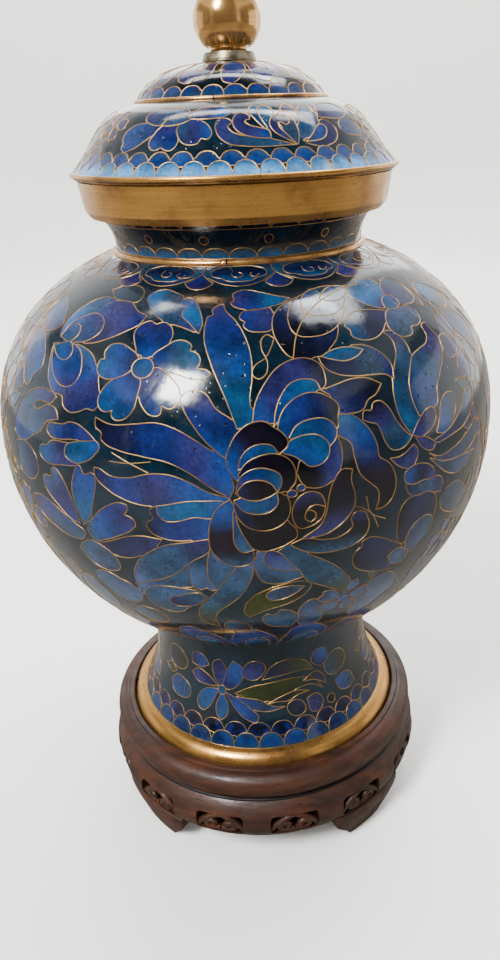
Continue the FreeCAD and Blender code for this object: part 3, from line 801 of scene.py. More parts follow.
# The row of flowers and leaves over the peony
UPPER_ROW = [
    Cell([(-38, 64.5), (-33, 67), (-29, 67.3), (-26, 65.8), (-24.6, 63.2), (-25.2, 60.8), (-29, 60.7),
          (-33, 61)], "se", 0),
    Cell([(-5.5, 50.3), (-10, 52.5), (-15, 54.3), (-19, 57.5), (-21.5, 60.5), (-22.8, 63), (-21.5, 65.3),
          (-18.5, 66.4), (-15, 65.3), (-11.5, 63), (-11.9, 61), (-10.2, 59.2), (-10.8, 57.5),
          (-8, 53.5)], "asv", 0),
    Cell([(-5.5, 50.3), (-8, 53.5), (-10.8, 57.5), (-10.2, 59.2), (-11.8, 61.2), (-11, 63), (-9, 63),
          (-7, 60), (-5.7, 57), (-5, 53.5)], "vab", 90),
    Cell([(1.6, 60.7), (2.6, 62), (2.2, 64), (3.5, 65.5), (6, 66), (10, 64.8), (14, 63), (18, 61.5),
          (15, 59.5), (10, 58.6), (6, 58.2), (3, 59.2)], "vctt", 0),
    Cell([(4, 55.2), (4.7, 57.3), (8, 57.8), (12, 58.5), (12.5, 56), (11.5, 52.5), (11.3, 51),
          (8, 50.3), (5.8, 51), (4.8, 53), (5.3, 53.8)], "cv", 0),
    Cell([(14.8, 41.6), (12.2, 46.5), (11.5, 51), (12.4, 55.5), (15, 58.8), (18, 60.6), (22, 62.8),
          (26, 64.2), (31, 64.6), (36.3, 63.2), (33, 58), (29.8, 53), (27.5, 49.5), (25.5, 45.5),
          (23, 43), (20.2, 41.5)], "kns", 60),
    Cell([(16.6, 48.6), (15.6, 52.5), (16.6, 57), (19, 60.3), (22, 62.6), (26.5, 64.2), (31, 64.6),
          (36.3, 63.2), (33, 58), (29.7, 52.5), (26, 48.8), (21, 47.3)], "knn", 60),
    Cell([(21, 55.2), (20.3, 58), (21.2, 61), (23.6, 63.3), (27, 64.2), (31, 64.6), (36.3, 63.2),
          (34.3, 60), (31.5, 56.2), (28, 53.9), (24, 53.9)], "bsp", 20),
    Cell([(26, 59.8), (28, 62.2), (31, 64), (36.3, 63.2), (34.5, 60.3), (32, 58.6), (29, 58.4)], "pa", 0),
    Cell([(29, 49), (30, 50.8), (32.5, 53), (36, 53.4), (40.5, 52.4), (42.8, 51.5), (40.5, 48),
          (37.5, 44.9), (34, 43.7), (31.5, 44.2), (29.6, 46), (29.8, 47.8)], "tnv", 0),
    Cell([(42.8, 52.3), (40, 53.8), (37.5, 55.8), (35.6, 58.5), (35.3, 60.3), (37, 62.7), (39, 63.2),
          (40.7, 63), (41.5, 64.5), (43.5, 65.2), (46.5, 64.5), (48.3, 62.5), (48.5, 60), (46.8, 57),
          (44.5, 55.5)], "vat", 110),
    Cell([(46.8, 57.2), (48.5, 60.3), (51, 62.2), (54.5, 62.6), (56.5, 61.3), (57.5, 59), (57.8, 56),
          (57.5, 53.5), (55.5, 51.8), (52, 51.5), (49.5, 52.2), (49.3, 55)], "vs", 0),
    Cell([(43, 51.3), (41, 48.5), (40.5, 45.5), (42, 43), (44.5, 42), (46.8, 42.8), (47.2, 44.2),
          (50, 44.3), (52.2, 45.7), (52.9, 48.3), (51.5, 50.8), (48.5, 51.2)], "sp", 90),
    Cell([(43.3, 52.5), (44.5, 55.5), (47, 56.5), (49.2, 55.3), (49.5, 53), (47.5, 51.6), (45, 51.5)],
         "tb", 0),
    # five-petalled blossom
    Cell([(-18, 43.2), (-20.5, 47), (-21.5, 50.5), (-20, 53.5), (-18, 54.2), (-16.8, 53.3),
          (-15, 54), (-12.5, 52.5), (-11.6, 49.5), (-12.5, 46.5), (-15.8, 42.9)], "bcv", 90),
    Cell([(-15.2, 42.6), (-12.5, 46.5), (-10.5, 48.2), (-8, 47.9), (-6.7, 46.5), (-7, 45.2),
          (-5.2, 44.2), (-4.5, 42), (-5.2, 40), (-3, 39.5), (-2.2, 38.5), (-3.2, 37.5), (-6, 37.2),
          (-9, 38.3), (-14.2, 40.4)], "csa", 0),
    Cell([(-16.9, 36.9), (-16.8, 33), (-15.8, 29.5), (-13.5, 27), (-12, 27.3), (-11.6, 29.8),
          (-10, 29), (-8.5, 30.5), (-8.3, 34), (-10, 37), (-14.3, 40)], "bcv", 90),
    Cell([(-17, 36.9), (-16.9, 32), (-17.5, 28), (-19.5, 25.3), (-21.5, 25.2), (-22.2, 26.5),
          (-22, 27.5), (-23.5, 26.8), (-25, 27.5), (-25.7, 29.5), (-25, 33), (-22.5, 36.5),
          (-19.4, 38.8)], "tbc", 60),
    Cell([(-19.3, 39), (-22, 36.5), (-25, 35.7), (-27.3, 37), (-28, 39.5), (-27.6, 41), (-26.7, 41.3),
          (-27.3, 43), (-26.5, 45.5), (-24, 46.3), (-21, 45), (-18.4, 42.3)], "tbc", 0),
    Cell([(-19.4, 39.8), (-18.6, 41.9), (-17, 42.6), (-15.2, 41.9), (-14.4, 39.8), (-15.2, 37.6),
          (-17, 36.8), (-18.6, 37.6)], "bt", None),
]
UPPER_LINES = [
    [(14.8, 41.6), (16.7, 48.4), (20, 54), (25, 58.4), (30, 61), (36.3, 63.2)],
]

# The side lotus, the leaf spray and the flower under it, left of the front
SIDE_LOTUS = [
    Cell([(-45.8, 49), (-48.5, 53), (-52, 56), (-55.5, 57.5), (-58, 56), (-58, 51), (-55, 47),
          (-52, 45.5), (-48.5, 46.3)], "va", 120),
    Cell([(-56.5, 46), (-52.5, 45.2), (-48.5, 42), (-46, 38.5), (-45.2, 35), (-47, 32.5), (-48.8, 28.5),
          (-50.5, 29), (-53, 33), (-55.5, 37), (-57, 42)], "tbs", 120),
    Cell([(-52, 14), (-51, 20), (-48.5, 25.5), (-45, 28.5), (-41, 29.6), (-37, 28.3), (-38, 26.3),
          (-41.5, 26), (-43.7, 24.8), (-43.5, 23), (-42, 23.5), (-39, 25.5), (-36.5, 24.8),
          (-35.3, 22.3), (-37, 21.6), (-39, 20.5), (-40.5, 17.5), (-43, 15.5), (-46, 13), (-49, 12)],
         "bsv", 60),
    Cell([(-44, 45.5), (-45, 49), (-44.5, 53.5), (-42.5, 57.5), (-39.5, 60.5), (-36.5, 61.4),
          (-34, 61), (-32, 60.3), (-28.5, 60.6), (-26, 59.7), (-23.5, 57.5), (-20.1, 56), (-21, 53),
          (-24, 50.2), (-28, 47.3), (-32, 45.3), (-38, 44.7)], "atvvc", 0),
    Cell([(-44, 45.4), (-42.8, 50), (-40, 53), (-37, 54.8), (-33.8, 54.3), (-31.6, 52), (-31.2, 49.5),
          (-32.5, 47), (-35, 45.2), (-38.5, 44.7)], "abv", 45),
    Cell([(-43.8, 45.2), (-43, 48), (-41, 50.2), (-38.8, 49.8), (-37.8, 47.5), (-38.8, 45)], "sb", 90),
    Cell([(-45, 42.7), (-42, 43.7), (-38, 44.3), (-34, 43.7), (-30.5, 42), (-28, 38.5), (-26.3, 34),
          (-25.5, 29), (-26.2, 26.8), (-28, 26.9), (-30, 25.7), (-32.5, 25), (-34.8, 26.8),
          (-35.2, 28.5), (-38.5, 29.3), (-41, 32), (-43, 37)], "cvbat", 120),
    Cell([(-44.6, 42.4), (-42, 37), (-39, 33), (-36, 31.5), (-33.5, 32.3), (-32, 35.5), (-32.5, 39),
          (-34.5, 42.5), (-38, 44.2)], "vbb", 110),
    Cell([(-44.5, 42.3), (-42, 40), (-39.5, 38.8), (-37.5, 39.3), (-36.8, 41.2), (-38, 43.8)], "tb", 0),
    Cell([(-24.8, 18.4), (-27, 20.5), (-30, 22.3), (-32.5, 22.2), (-33.5, 21.5), (-36, 21),
          (-38, 20.5), (-38.6, 19), (-37.5, 17), (-35, 16.8), (-31.5, 17.6)], "bcv", 0),
    Cell([(-33, 16.4), (-37.5, 15.3), (-38.5, 14), (-40.3, 13.5), (-41, 11.5), (-40, 9.5),
          (-37.5, 8.7), (-34, 9.5), (-29.5, 11), (-26.5, 17)], "tvc", 0),
    Cell([(-24.3, 17.5), (-25.5, 14.5), (-28, 12), (-31, 11.3), (-33, 13), (-32.8, 15.3), (-30, 17.3),
          (-27, 18.2), (-24.8, 18.4)], "ttb", 0),
    Cell([(-51, 10.8), (-47, 12.2), (-44, 11), (-42, 8), (-42, 5), (-43.5, 2), (-46, 0.5), (-50, 2)],
         "sn", 0),
    Cell([(-46, -4.5), (-43, -3.3), (-40, -3.8), (-36.5, -6), (-33, -8.5), (-30.5, -11), (-31, -12.8),
          (-35, -14.5), (-40, -13), (-44.5, -10)], "vs", 0),
    Cell([(-31.2, -8), (-32, -2), (-33.2, 3), (-34.5, 6), (-36.6, 8), (-37.4, 7), (-37.5, 5.2),
          (-40, 4.4), (-40.6, 1.5), (-39.5, -1), (-37, -4), (-33.5, -7.5)], "cvp", 120),
    Cell([(-30.3, -8), (-31.5, -2), (-31.8, 3), (-30.8, 8), (-29.6, 11), (-29, 10.6), (-28.3, 8.7),
          (-26, 9.3), (-25.5, 8), (-25.9, 4), (-27, -1), (-28.3, -6)], "stbc", 90),
    Cell([(-29.5, -9), (-28.3, -6.5), (-26.3, -3), (-23.5, 0.2), (-20.5, 2), (-18.9, 1.6), (-19, 0),
          (-19.8, -1.5), (-18, -2.7), (-17.6, -4), (-18.6, -6), (-21.5, -8.7), (-25, -11.2),
          (-28.5, -13)], "sbcv", 30),
    Cell([(-12.7, -8.2), (-17, -7.8), (-20.5, -9), (-23.5, -11), (-26, -12.5), (-28.5, -13.2),
          (-24.8, -16.5), (-21.5, -16.8), (-18, -15), (-14.5, -11.5)], "nnv", 0),
    Cell([(-33.8, -18), (-32, -15), (-29.5, -13.2), (-26.5, -14.5), (-24.5, -16.5), (-23.6, -19.5),
          (-24, -22), (-27, -24), (-31, -23)], "ps", 90),
    Cell([(-31.2, -26), (-28, -25), (-25, -26.8), (-22.5, -28.5), (-21, -32), (-22, -36), (-25, -38.5),
          (-29, -37), (-32, -33), (-33, -29)], "sp", 0),
]

# Leaves and part of a flower, right of the front
RIGHT_SIDE = [
    Cell([(38, 45.2), (39.4, 42.5), (39, 39), (36.9, 34.8), (35.2, 30.5), (34.5, 25), (35.1, 20),
          (37.3, 14.8), (39.8, 19.5), (38.9, 24), (39.2, 29), (40.8, 33), (42.5, 36.3), (42.8, 40.3),
          (41.8, 43.3), (40, 45.2)], "ttsv", 90),
    Cell([(39.8, 19.5), (38.9, 24), (39.2, 29), (40.8, 33), (42.8, 36.2), (46, 37.6), (49.3, 38.8),
          (50.7, 41), (51, 44), (53, 44.3), (53.7, 41), (54.4, 38), (53, 34), (50, 30), (47, 26),
          (45, 20.5), (43, 20.9)], "tbsvv", 60),
    Cell([(26.6, 22.5), (27.2, 24.8), (28.8, 24.6), (29.3, 26.2), (31, 26.6), (32.6, 24.5),
          (33.9, 20.5), (36.5, 15.5), (37.3, 14.5), (35, 12.3), (32.3, 12.5), (30.7, 15.5),
          (30.1, 18.5), (29.5, 20.5), (28, 21.4)], "tsvk", 110),
    Cell([(37.3, 14.8), (40, 19), (42.3, 20.8), (44, 20.5), (44.6, 18.5), (43.3, 15.5), (40.5, 13.8)],
         "cvn", 30),
    Cell([(44, 13), (45.5, 17), (47, 21.5), (49.5, 23), (51.5, 22), (51.5, 18), (50, 14.5), (47, 12)],
         "bs", 60),
    Cell([(41, 11), (44.5, 11.5), (49, 13), (53, 16.5), (57, 21), (60, 20), (58.5, 15.5), (54.5, 11.5),
          (49, 10.4), (43, 10.2)], "cs", 30),
    Cell([(41.5, 8), (44, 6), (49, 6), (54, 7.6), (59.5, 11), (61, 6), (57, 3), (51, 2), (46, 3.3)],
         "vs", 0),
    Cell([(41.5, 6.5), (44, 3), (47, -0.5), (51, -2.8), (55.5, -2.3), (59, 0.8), (53, 2), (46, 3.6)],
         "sp", 0),
    Cell([(38, 14), (41, 13), (43.5, 10.5), (43, 9), (40, 10)], "v", 0),
    Cell([(31.5, 10.3), (34, 10), (37.5, 12.3), (38.5, 10), (37.8, 7), (36, 5.8), (33.8, 7)], "cv", 0),
    Cell([(35.2, 1.5), (36, -2), (38, -3.8), (42, -4.3), (44.5, -5.8), (46, -6.3), (46.2, -3),
          (45, -0.8), (43.3, 0), (40, 0.3), (37, 0.3)], "nsv", 0),
    Cell([(35, 4.5), (36.5, 5.8), (40, 5.6), (42, 4), (43.2, 1.5), (43, -0.3), (41.5, 0), (40, 0.3),
          (37, 0.3), (35.2, 1.8)], "bnv", 0),
    Cell([(46, -8), (49, -6), (52, -6), (55, -9), (58.5, -13), (55, -18), (50, -16), (46.5, -12)], "sp", 0),
    Cell([(35.5, -19), (34, -13), (34, -8), (35, -5), (37, -3.6), (39, -4), (42, -4.2), (44, -6.5),
          (44.8, -10), (44.5, -14), (41, -18)], "knn", 0),
    Cell([(37.5, -22), (37.2, -17), (39, -13.5), (41.5, -12.2), (44, -14), (44.5, -18), (42.5, -22.5),
          (39.5, -25)], "ps", 0),
    Cell([(36, -20), (33, -17), (30, -14.2), (27.5, -13), (25.8, -13.8), (26, -15.5), (24.7, -17),
          (24.2, -20), (25.2, -23.5), (28, -26.5), (32, -28.3), (36, -28.3), (37.4, -24)], "knnk", 0),
    Cell([(33, -23), (35, -21), (37.3, -22.3), (38.8, -25), (37.5, -28), (35, -27.5)], "sp", 0),
]

# Petals standing round the waist, and the clouds that hang round the shoulder
WAIST_ROW = [
    Cell([(-7.5, -89), (-8.4, -70), (-7, -58), (-4.2, -50.5), (-1.5, -49.5), (0.6, -51.5), (4, -57),
          (6.5, -70), (7, -89)], "snb", 90),
    Cell([(-3.6, -89), (-4.2, -72), (-2.2, -60.5), (0.6, -58.5), (2.9, -63), (3.7, -74), (3.4, -89)],
         "nt", 90),
]
WAIST_LOBES = [
    Cell([(7.5, -48), (6, -45.5), (5.5, -42), (6.5, -39.8), (8.8, -39.8), (9.5, -38), (11.5, -38.5),
          (13.2, -41), (13.8, -45), (12.5, -50)], "ss", 0),
    Cell([(15, -50), (14, -44), (13.8, -39), (15, -35.5), (16.8, -34.2), (18.5, -35.3), (20, -34.3),
          (22, -36.5), (22.5, -40), (20.5, -44), (19, -50)], "ps", 0),
    Cell([(-3.5, -49), (-3.6, -45.5), (-2, -43.2), (0.5, -44), (2.5, -47), (2.6, -51)], "se", 0),
    Cell([(28, -50), (27.5, -42), (28, -36), (30.5, -31.5), (34, -30.5), (37.5, -33.5), (39, -40),
          (36, -46), (32, -51)], "ps", 90),
    Cell([(-40, -49), (-42, -42), (-40, -34), (-36, -31), (-32.5, -35), (-31, -42), (-34, -48)], "sp", 90),
    Cell([(44, -50), (43, -40), (45, -31), (49, -27), (53, -31), (54.5, -40), (51, -48)], "sp", 90),
    Cell([(-56, -48), (-57.5, -38), (-55, -28), (-50.5, -23), (-46.5, -28), (-45, -38), (-48.5, -47)],
         "ps", 90),
    Cell([(-25, -50), (-27.5, -46), (-25.5, -41.5), (-21.5, -40), (-18, -43), (-18.5, -48)], "se", 0),
]
CLOUD = [
    Cell([(-8.6, 81), (-8.6, 74.2), (-4.3, 70.7), (0, 68.6), (4.4, 67.8), (8.9, 68.6), (13.2, 70.8),
          (17, 74.2), (17, 81)], "nse", 90),
    Cell([(-5.2, 75.5), (-4.8, 72.6), (-1.6, 71.6), (0.4, 70.3), (4.4, 69.9), (8.4, 70.3), (10.4, 71.6),
          (13.4, 72.6), (13.8, 75.5), (11, 77.3), (4.3, 78), (-2.4, 77.3)], "tne", 90),
]
CLOUD_CURLS = [
    [(2.0, 75.2), (1.6, 73.4), (3.2, 72.0), (5.2, 72.4), (5.6, 73.8), (4.2, 74.4)],
    [(11.2, 73.4), (9.6, 71.9), (8.0, 72.8), (8.6, 74.2)],
]
CLOUD_GAP = [
    Cell([(-8.6, 73.8), (-11, 71.3), (-13.4, 69.4), (-11.6, 67.4), (-8.8, 66.5), (-5.8, 67.4),
          (-3.9, 69.4), (-6.3, 71.3)], "vc", 90),
]


def belly_ground(places):
    """Dark teal glass, nearly black between the peony's petals."""
    a, s = places[:, 0], places[:, 1]
    near = np.abs((a + 180) % 120 - 60 - 14) / 16
    dark = np.clip(1.3 - np.hypot(near, (s - 5) / 26), 0, 1)[:, None]
    return frit_colour("e", s) * (1 - dark) + frit_colour("k", s) * dark


def plain_ground(frit):
    return lambda places: frit_colour(frit, places[:, 1])


THREE = (0.0, 120.0, -120.0)


def belly_pattern(surface, step):
    pattern = Pattern(surface, step)
    lobes = [round((i * 360 / 24 + 4) % 360 - 180, 3) for i in range(24)]
    pattern.add(WAIST_ROW, lobes)
    pattern.add(WAIST_LOBES, THREE)
    pattern.draw(BETWEEN_LINES, THREE)
    for cells in (BETWEEN, SIDE_LOTUS, RIGHT_SIDE, UPPER_ROW, PEONY):
        pattern.add(cells, THREE)
    clouds = [round((i * 360 / 14 + 180) % 360 - 180, 3) for i in range(14)]
    pattern.add(CLOUD, clouds)
    pattern.add(CLOUD_GAP, clouds)
    pattern.draw(CLOUD_CURLS, clouds)
    pattern.draw(PEONY_LINES + UPPER_LINES, THREE)
    return pattern


FOOT_FLOWER = [
    Cell([(-10, 21), (-3, 19.4), (6, 18), (14, 18.2), (22, 21.2), (30, 21), (36, 17.5), (30, 24),
          (20, 26), (8, 25.5), (-2, 24)], "gge", 0),
    Cell([(-12, 20), (-6, 19.5), (2, 18.6), (10, 15.5), (15, 15), (6, 13.8), (-2, 15)], "cs", 0),
    Cell([(-16.5, 22), (-12, 22.5), (-6, 27), (-6, 33), (-10, 35), (-14, 30)], "nb", 60),
    Cell([(-17, 22), (-21, 28), (-20, 34), (-16.5, 35.2), (-14, 31), (-15.5, 26)], "vn", 90),
    Cell([(-18.5, 23), (-24, 27), (-30, 28.5), (-34, 26), (-31, 23), (-25, 22.5)], "vn", 0),
    Cell([(-18, 22), (-25, 21), (-29.5, 17.5), (-30.2, 13.5), (-27, 11.5), (-23.5, 13.5), (-20.5, 18)],
         "tb", 60),
    Cell([(-16.5, 21), (-19.6, 15.5), (-19, 11.5), (-16.5, 9.6), (-14, 11.5), (-13.4, 15.5)], "tb", 90),
    Cell([(-15, 21), (-9, 19), (-2, 15), (1.6, 11.5), (0.5, 10), (-4, 10.8), (-9, 14.2)], "bc", 60),
    Cell([(-18.6, 21.6), (-17.6, 23.6), (-15.6, 23.6), (-14.6, 21.6), (-15.6, 20), (-17.6, 20)], "t", None),
    Cell([(-36, 14), (-41, 12.6), (-47, 13.2), (-49.5, 16.5), (-46, 20.5), (-39, 20.5), (-35, 18)], "bs", 0),
    Cell([(-52, 27), (-47, 24), (-41, 24.5), (-37, 28), (-41, 33), (-48, 33.5)], "ng", 0),
    Cell([(16, 15.4), (20, 16.8), (24, 15), (24.5, 11.5), (20, 10.4), (16.5, 12)], "en", 0),
    Cell([(26, 16), (31, 16.8), (34.5, 14), (33, 10.4), (28.5, 10)], "vn", 0),
    Cell([(37, 12.5), (39, 14), (41.5, 12.8), (41, 10.6), (38.5, 10.4)], "k", 0),
    Cell([(38, 28), (44, 31), (51, 29), (53, 24), (47, 20.5), (40, 22)], "sg", 0),
    Cell([(44, 18), (50, 19), (56, 16.5), (57.5, 12.5), (51, 11.6), (45.5, 13.8)], "bs", 0),
    Cell([(4, 27), (10, 33), (18, 34.6), (27, 32), (31, 27.5), (22, 28.5), (12, 28)], "ng", 0),
    Cell([(-56, 22), (-50, 20), (-46, 22), (-50, 24.5)], "ng", 0),
    Cell([(-34, 30), (-28, 29.6), (-23, 31.5), (-26, 35), (-32, 35.2)], "nb", 0),
    Cell([(-5, 28.5), (0, 27), (4, 28.8), (6, 33), (2, 35.2), (-4, 33.5)], "vn", 60),
    Cell([(30, 31), (36, 27), (40, 29.5), (38, 34.5), (33, 35.2)], "nb", 60),
    Cell([(25, 23.5), (31, 22.6), (38, 19), (37, 22.5), (32, 26)], "gn", 0),
    Cell([(6, 16.8), (11, 17.2), (17, 17), (22, 18.6), (28, 18.8), (22, 20.4), (14, 19.4)], "ng", 0),
]


def foot_pattern(surface, step):
    pattern = Pattern(surface, step)
    pattern.add(FOOT_FLOWER, THREE)
    pattern.add(scale_row(33, 1.5, 4.6, 9.8, "nnck", None))
    pattern.add(scale_row(33, -4.2, 0.2, 5.8, "snbc", None))
    return pattern


LID_LOTUS = [
    Cell([(-22.8, 16.5), (-26, 17.2), (-30, 17.8), (-34, 17.7), (-37.5, 16.5), (-39.7, 14.3),
          (-39, 12.3), (-38.2, 11.5), (-38.7, 10.5), (-36.5, 9.3), (-33.5, 9.6), (-29.5, 11.5),
          (-25.5, 14)], "bbv", 0),
    Cell([(-23, 16.3), (-25, 14), (-26, 12), (-25, 10), (-22.5, 9.5), (-20.5, 10.2), (-19.5, 9.7),
          (-17, 9.3), (-14.8, 11), (-14.5, 13), (-15.8, 16.2), (-19, 16.7)], "bcv", 90),
    Cell([(-15.8, 16.5), (-15, 13.5), (-13, 11.5), (-9.5, 10.8), (-7.2, 11.3), (-6.3, 12.6),
          (-4, 12.3), (-2.6, 13.8), (-3.5, 16), (-6.5, 18), (-10, 18.5), (-13, 17.8)], "svb", 0),
    Cell([(-23, 17.2), (-28, 17.6), (-31, 18.8), (-32, 20.5), (-30.5, 22.5), (-27, 23.8), (-22, 24),
          (-16, 23.5), (-12.5, 22), (-11.2, 20.2), (-12.5, 19.8), (-16.5, 20.4), (-20, 19.7)],
         "vpp", 0),
    Cell([(-14, 20), (-11, 21.8), (-6, 23.8), (-1, 24), (3, 23.2), (4.8, 21.5), (3.5, 20), (0, 19),
          (-5, 18.7), (-10, 18.9)], "vva", 0),
    Cell([(-23, 17), (-20, 19.7), (-16.5, 20.4), (-12.5, 19.8), (-11, 18.8), (-13.5, 17.7), (-17, 17),
          (-20.5, 16.8)], "ps", 0),
    Cell([(40.5, 18), (45, 17.5), (50, 17.2), (56, 18), (60, 20), (58, 23), (50, 24), (43, 22.5)],
         "vb", 0),
    Cell([(61, 12), (54, 11.7), (51.5, 12), (49.5, 13.2), (49.2, 15.2), (52, 17), (56, 17.5),
          (62, 16)], "bs", 0),
    Cell([(18.5, 14), (15.8, 15.6), (13, 18.5), (11.5, 21), (13, 23.5), (17, 24), (20.5, 22.8),
          (21.5, 21), (20, 19), (18.6, 16.5)], "bta", 60),
    Cell([(18.4, 14), (16.4, 17), (15.2, 20), (15.5, 22.5), (18, 23.3), (20.8, 22.5), (21.5, 20.8),
          (19.8, 18.5)], "ta", 60),
    Cell([(29, 11), (29.3, 14), (30.5, 17.5), (32, 20), (34, 22.5), (38, 23), (40, 20.5), (39.5, 17),
          (36.5, 14), (32.5, 12)], "pta", 60),
    Cell([(24, 19.5), (25.5, 22.3), (28.5, 24), (31, 22.5), (31.5, 19.5), (30, 16), (29, 12),
          (27.5, 14)], "pv", 60),
    Cell([(18, 11.7), (13, 12), (8, 13.1), (4.2, 14.6), (2.9, 16), (4.2, 16.9), (4.3, 17.9),
          (2.5, 18.7), (0, 18.5), (-1.4, 17), (-1.2, 14.8), (0.5, 12.4), (3.5, 10.7), (8, 10),
          (14, 9.6), (22, 9.7), (26.5, 9.7), (22, 10.8)], "vss", 0),
    Cell([(18, 14.2), (14.5, 15.3), (11, 16.2), (9.4, 17.3), (10.3, 18), (11.3, 18), (11.5, 19.3),
          (10, 20.3), (7.5, 20.4), (5.5, 19), (5, 16.5), (6.5, 14.5), (9.5, 13), (14, 12.2),
          (18, 11.9)], "vvb", 0),
    Cell([(27.5, 10), (28.8, 13), (29, 16), (28, 19), (26, 20.8), (23.8, 20.4), (22, 19.2), (23, 15),
          (24.5, 12.7)], "sp", 90),
    Cell([(29.5, 10.8), (33, 12.3), (36.5, 14.2), (39.5, 16.5), (41.5, 17.2), (44, 16.5), (46.3, 14),
          (45, 11.3), (41.5, 9.5), (37, 9.1), (32, 9.6)], "snv", 0),
    Cell([(30.5, 10.5), (34.5, 10.6), (38.5, 11.3), (41, 13), (41.6, 14.8), (40, 15.7), (37.5, 15),
          (34, 12.5)], "ebb", 0),
    Cell([(27, 9.8), (23, 11.8), (20, 13.6), (18.6, 15.8), (19.4, 18), (21.8, 19.2), (25, 19),
          (26.6, 17.8), (26.3, 16.5), (24.7, 15.9), (23.3, 16.8), (21.9, 16.7), (22, 15.5), (24, 13)],
         "svv", 110),
]


def skirt_pattern(surface, step):
    pattern = Pattern(surface, step)
    pattern.add(blossom(-49, 18, 5.5, 70, "bcv", 0.72) + blossom(-56, 11, 4.5, 40, "sbv", 0.8), THREE)
    pattern.add(LID_LOTUS, THREE)
    pattern.add(scale_row(44, -4, 4.6, 9.0, "pbb", None))
    pattern.add(scale_row(44, 0.1, 0.9, 6.0, "lla", 90))
    return pattern


CAP_LEAVES = [
    Cell([(-5, 24), (-18, 14), (-18.6, 9), (-18, 6.5), (-16.5, 4.6), (-13, 4), (-9.5, 4.4), (-6, 6),
          (-3, 8), (0, 12)], "vbs", 60),
    Cell([(2, 24), (2.6, 12), (2.4, 8), (4, 5.8), (8, 4.8), (12, 4.5), (15, 5.4), (16, 6.6),
          (20, 6.3), (24, 6.8), (26.5, 8.6), (27, 13), (22, 24)], "vcs", 90),
    Cell([(13, 24), (12.5, 16), (13.5, 11), (17, 10), (19, 12), (17.5, 16)], "sp", 90),
]


def cap_pattern(surface, step):
    pattern = Pattern(surface, step)
    pattern.add(CAP_LEAVES, [-180 + 45 + 51.43 * i - 2 for i in range(7)])
    pattern.add(scale_row(28, 7.5, 0.2, 3.7, "sbv", 90))
    return pattern


def neck_pattern(surface, step):
    pattern = Pattern(surface, step)
    pattern.add([Cell(disc(0, 5.5, 1.9, 1.3), "m", 0)], [-9 + 360 / 14 * i - 180 for i in range(14)])
    pattern.add(scale_row(32, 0, 9.2, 11.2, "k", 90))
    pattern.add(scale_row(32, -5, 0.2, 3.1, "te", 90))
    return pattern


# ---------------------------------------------------------------- materials

GLASS_IOR = 1.52
GLASS_SHINE = 0.42  # a little under half, as old polish is slightly dull
WIRE_BARE = 0.9     # the share of the wire that is clean metal
BRASS_BARE = 0.89   # the share of the brass that no lacquer or dirt covers
WOOD_SHINE = 0.3
COAT_ROUGH = 0.16


def material(name):
    """A new material with only its shader, and the socket that gives places in metres."""
    made = bpy.data.materials.new(name)
    made.use_nodes = True
    tree = made.node_tree
    tree.nodes.clear()
    shader = add_node(tree, "ShaderNodeBsdfPrincipled")
    add_node(tree, "ShaderNodeOutputMaterial", links={"Surface": shader.outputs[0]})
    place = add_node(tree, "ShaderNodeTexCoord").outputs["Object"]
    return made, tree, shader, place


def clouds(tree, place, size, low, high, stretch=(1, 1, 1), detail=3.0, edge=(0.3, 0.7)):
    """A value that wanders from low to high over patches of a given size in metres."""
    scaled = add_node(
        tree, "ShaderNodeMapping", {"vector_type": "POINT"},
        {"Scale": tuple(1 / s for s in stretch)}, {"Vector": place}).outputs[0]
    noise = add_node(
        tree, "ShaderNodeTexNoise", None,
        {"Scale": 1 / size, "Detail": detail, "Roughness": 0.55}, {"Vector": scaled})
    return add_node(
        tree, "ShaderNodeMapRange", {"interpolation_type": "SMOOTHSTEP"},
        {"From Min": edge[0], "From Max": edge[1], "To Min": low, "To Max": high},
        {"Value": noise.outputs[0]}).outputs[0]


def mixed(tree, factor, first, second, blend="MIX"):
    """Two colours, each a socket or a colour, mixed by a socket or a number."""
    node = add_node(tree, "ShaderNodeMix", {"data_type": "RGBA", "blend_type": blend})
    for index, value in ((0, factor), (6, first), (7, second)):
        if isinstance(value, bpy.types.NodeSocket):
            tree.links.new(value, node.inputs[index])
        else:
            node.inputs[index].default_value = value if index == 0 else (*value[:3], 1)
    return node.outputs[2]


def toned(tree, colour, value):
    """A colour made darker or lighter by a value."""
    grey = add_node(tree, "ShaderNodeCombineColor", None, None, {
        "Red": value, "Green": value, "Blue": value}).outputs[0]
    return mixed(tree, 1.0, colour, grey, "MULTIPLY")


def raised(tree, shader, layers):
    """Bumps of given heights in metres, one over the other."""
    normal = None
    for height, distance in layers:
        links = {"Height": height}
        if normal is not None:
            links["Normal"] = normal
        normal = add_node(
            tree, "ShaderNodeBump", None, {"Strength": 1.0, "Distance": distance}, links).outputs[0]
    tree.links.new(normal, shader.inputs["Normal"])


def made_once(name, build):
    return bpy.data.materials.get(name) or build(name)


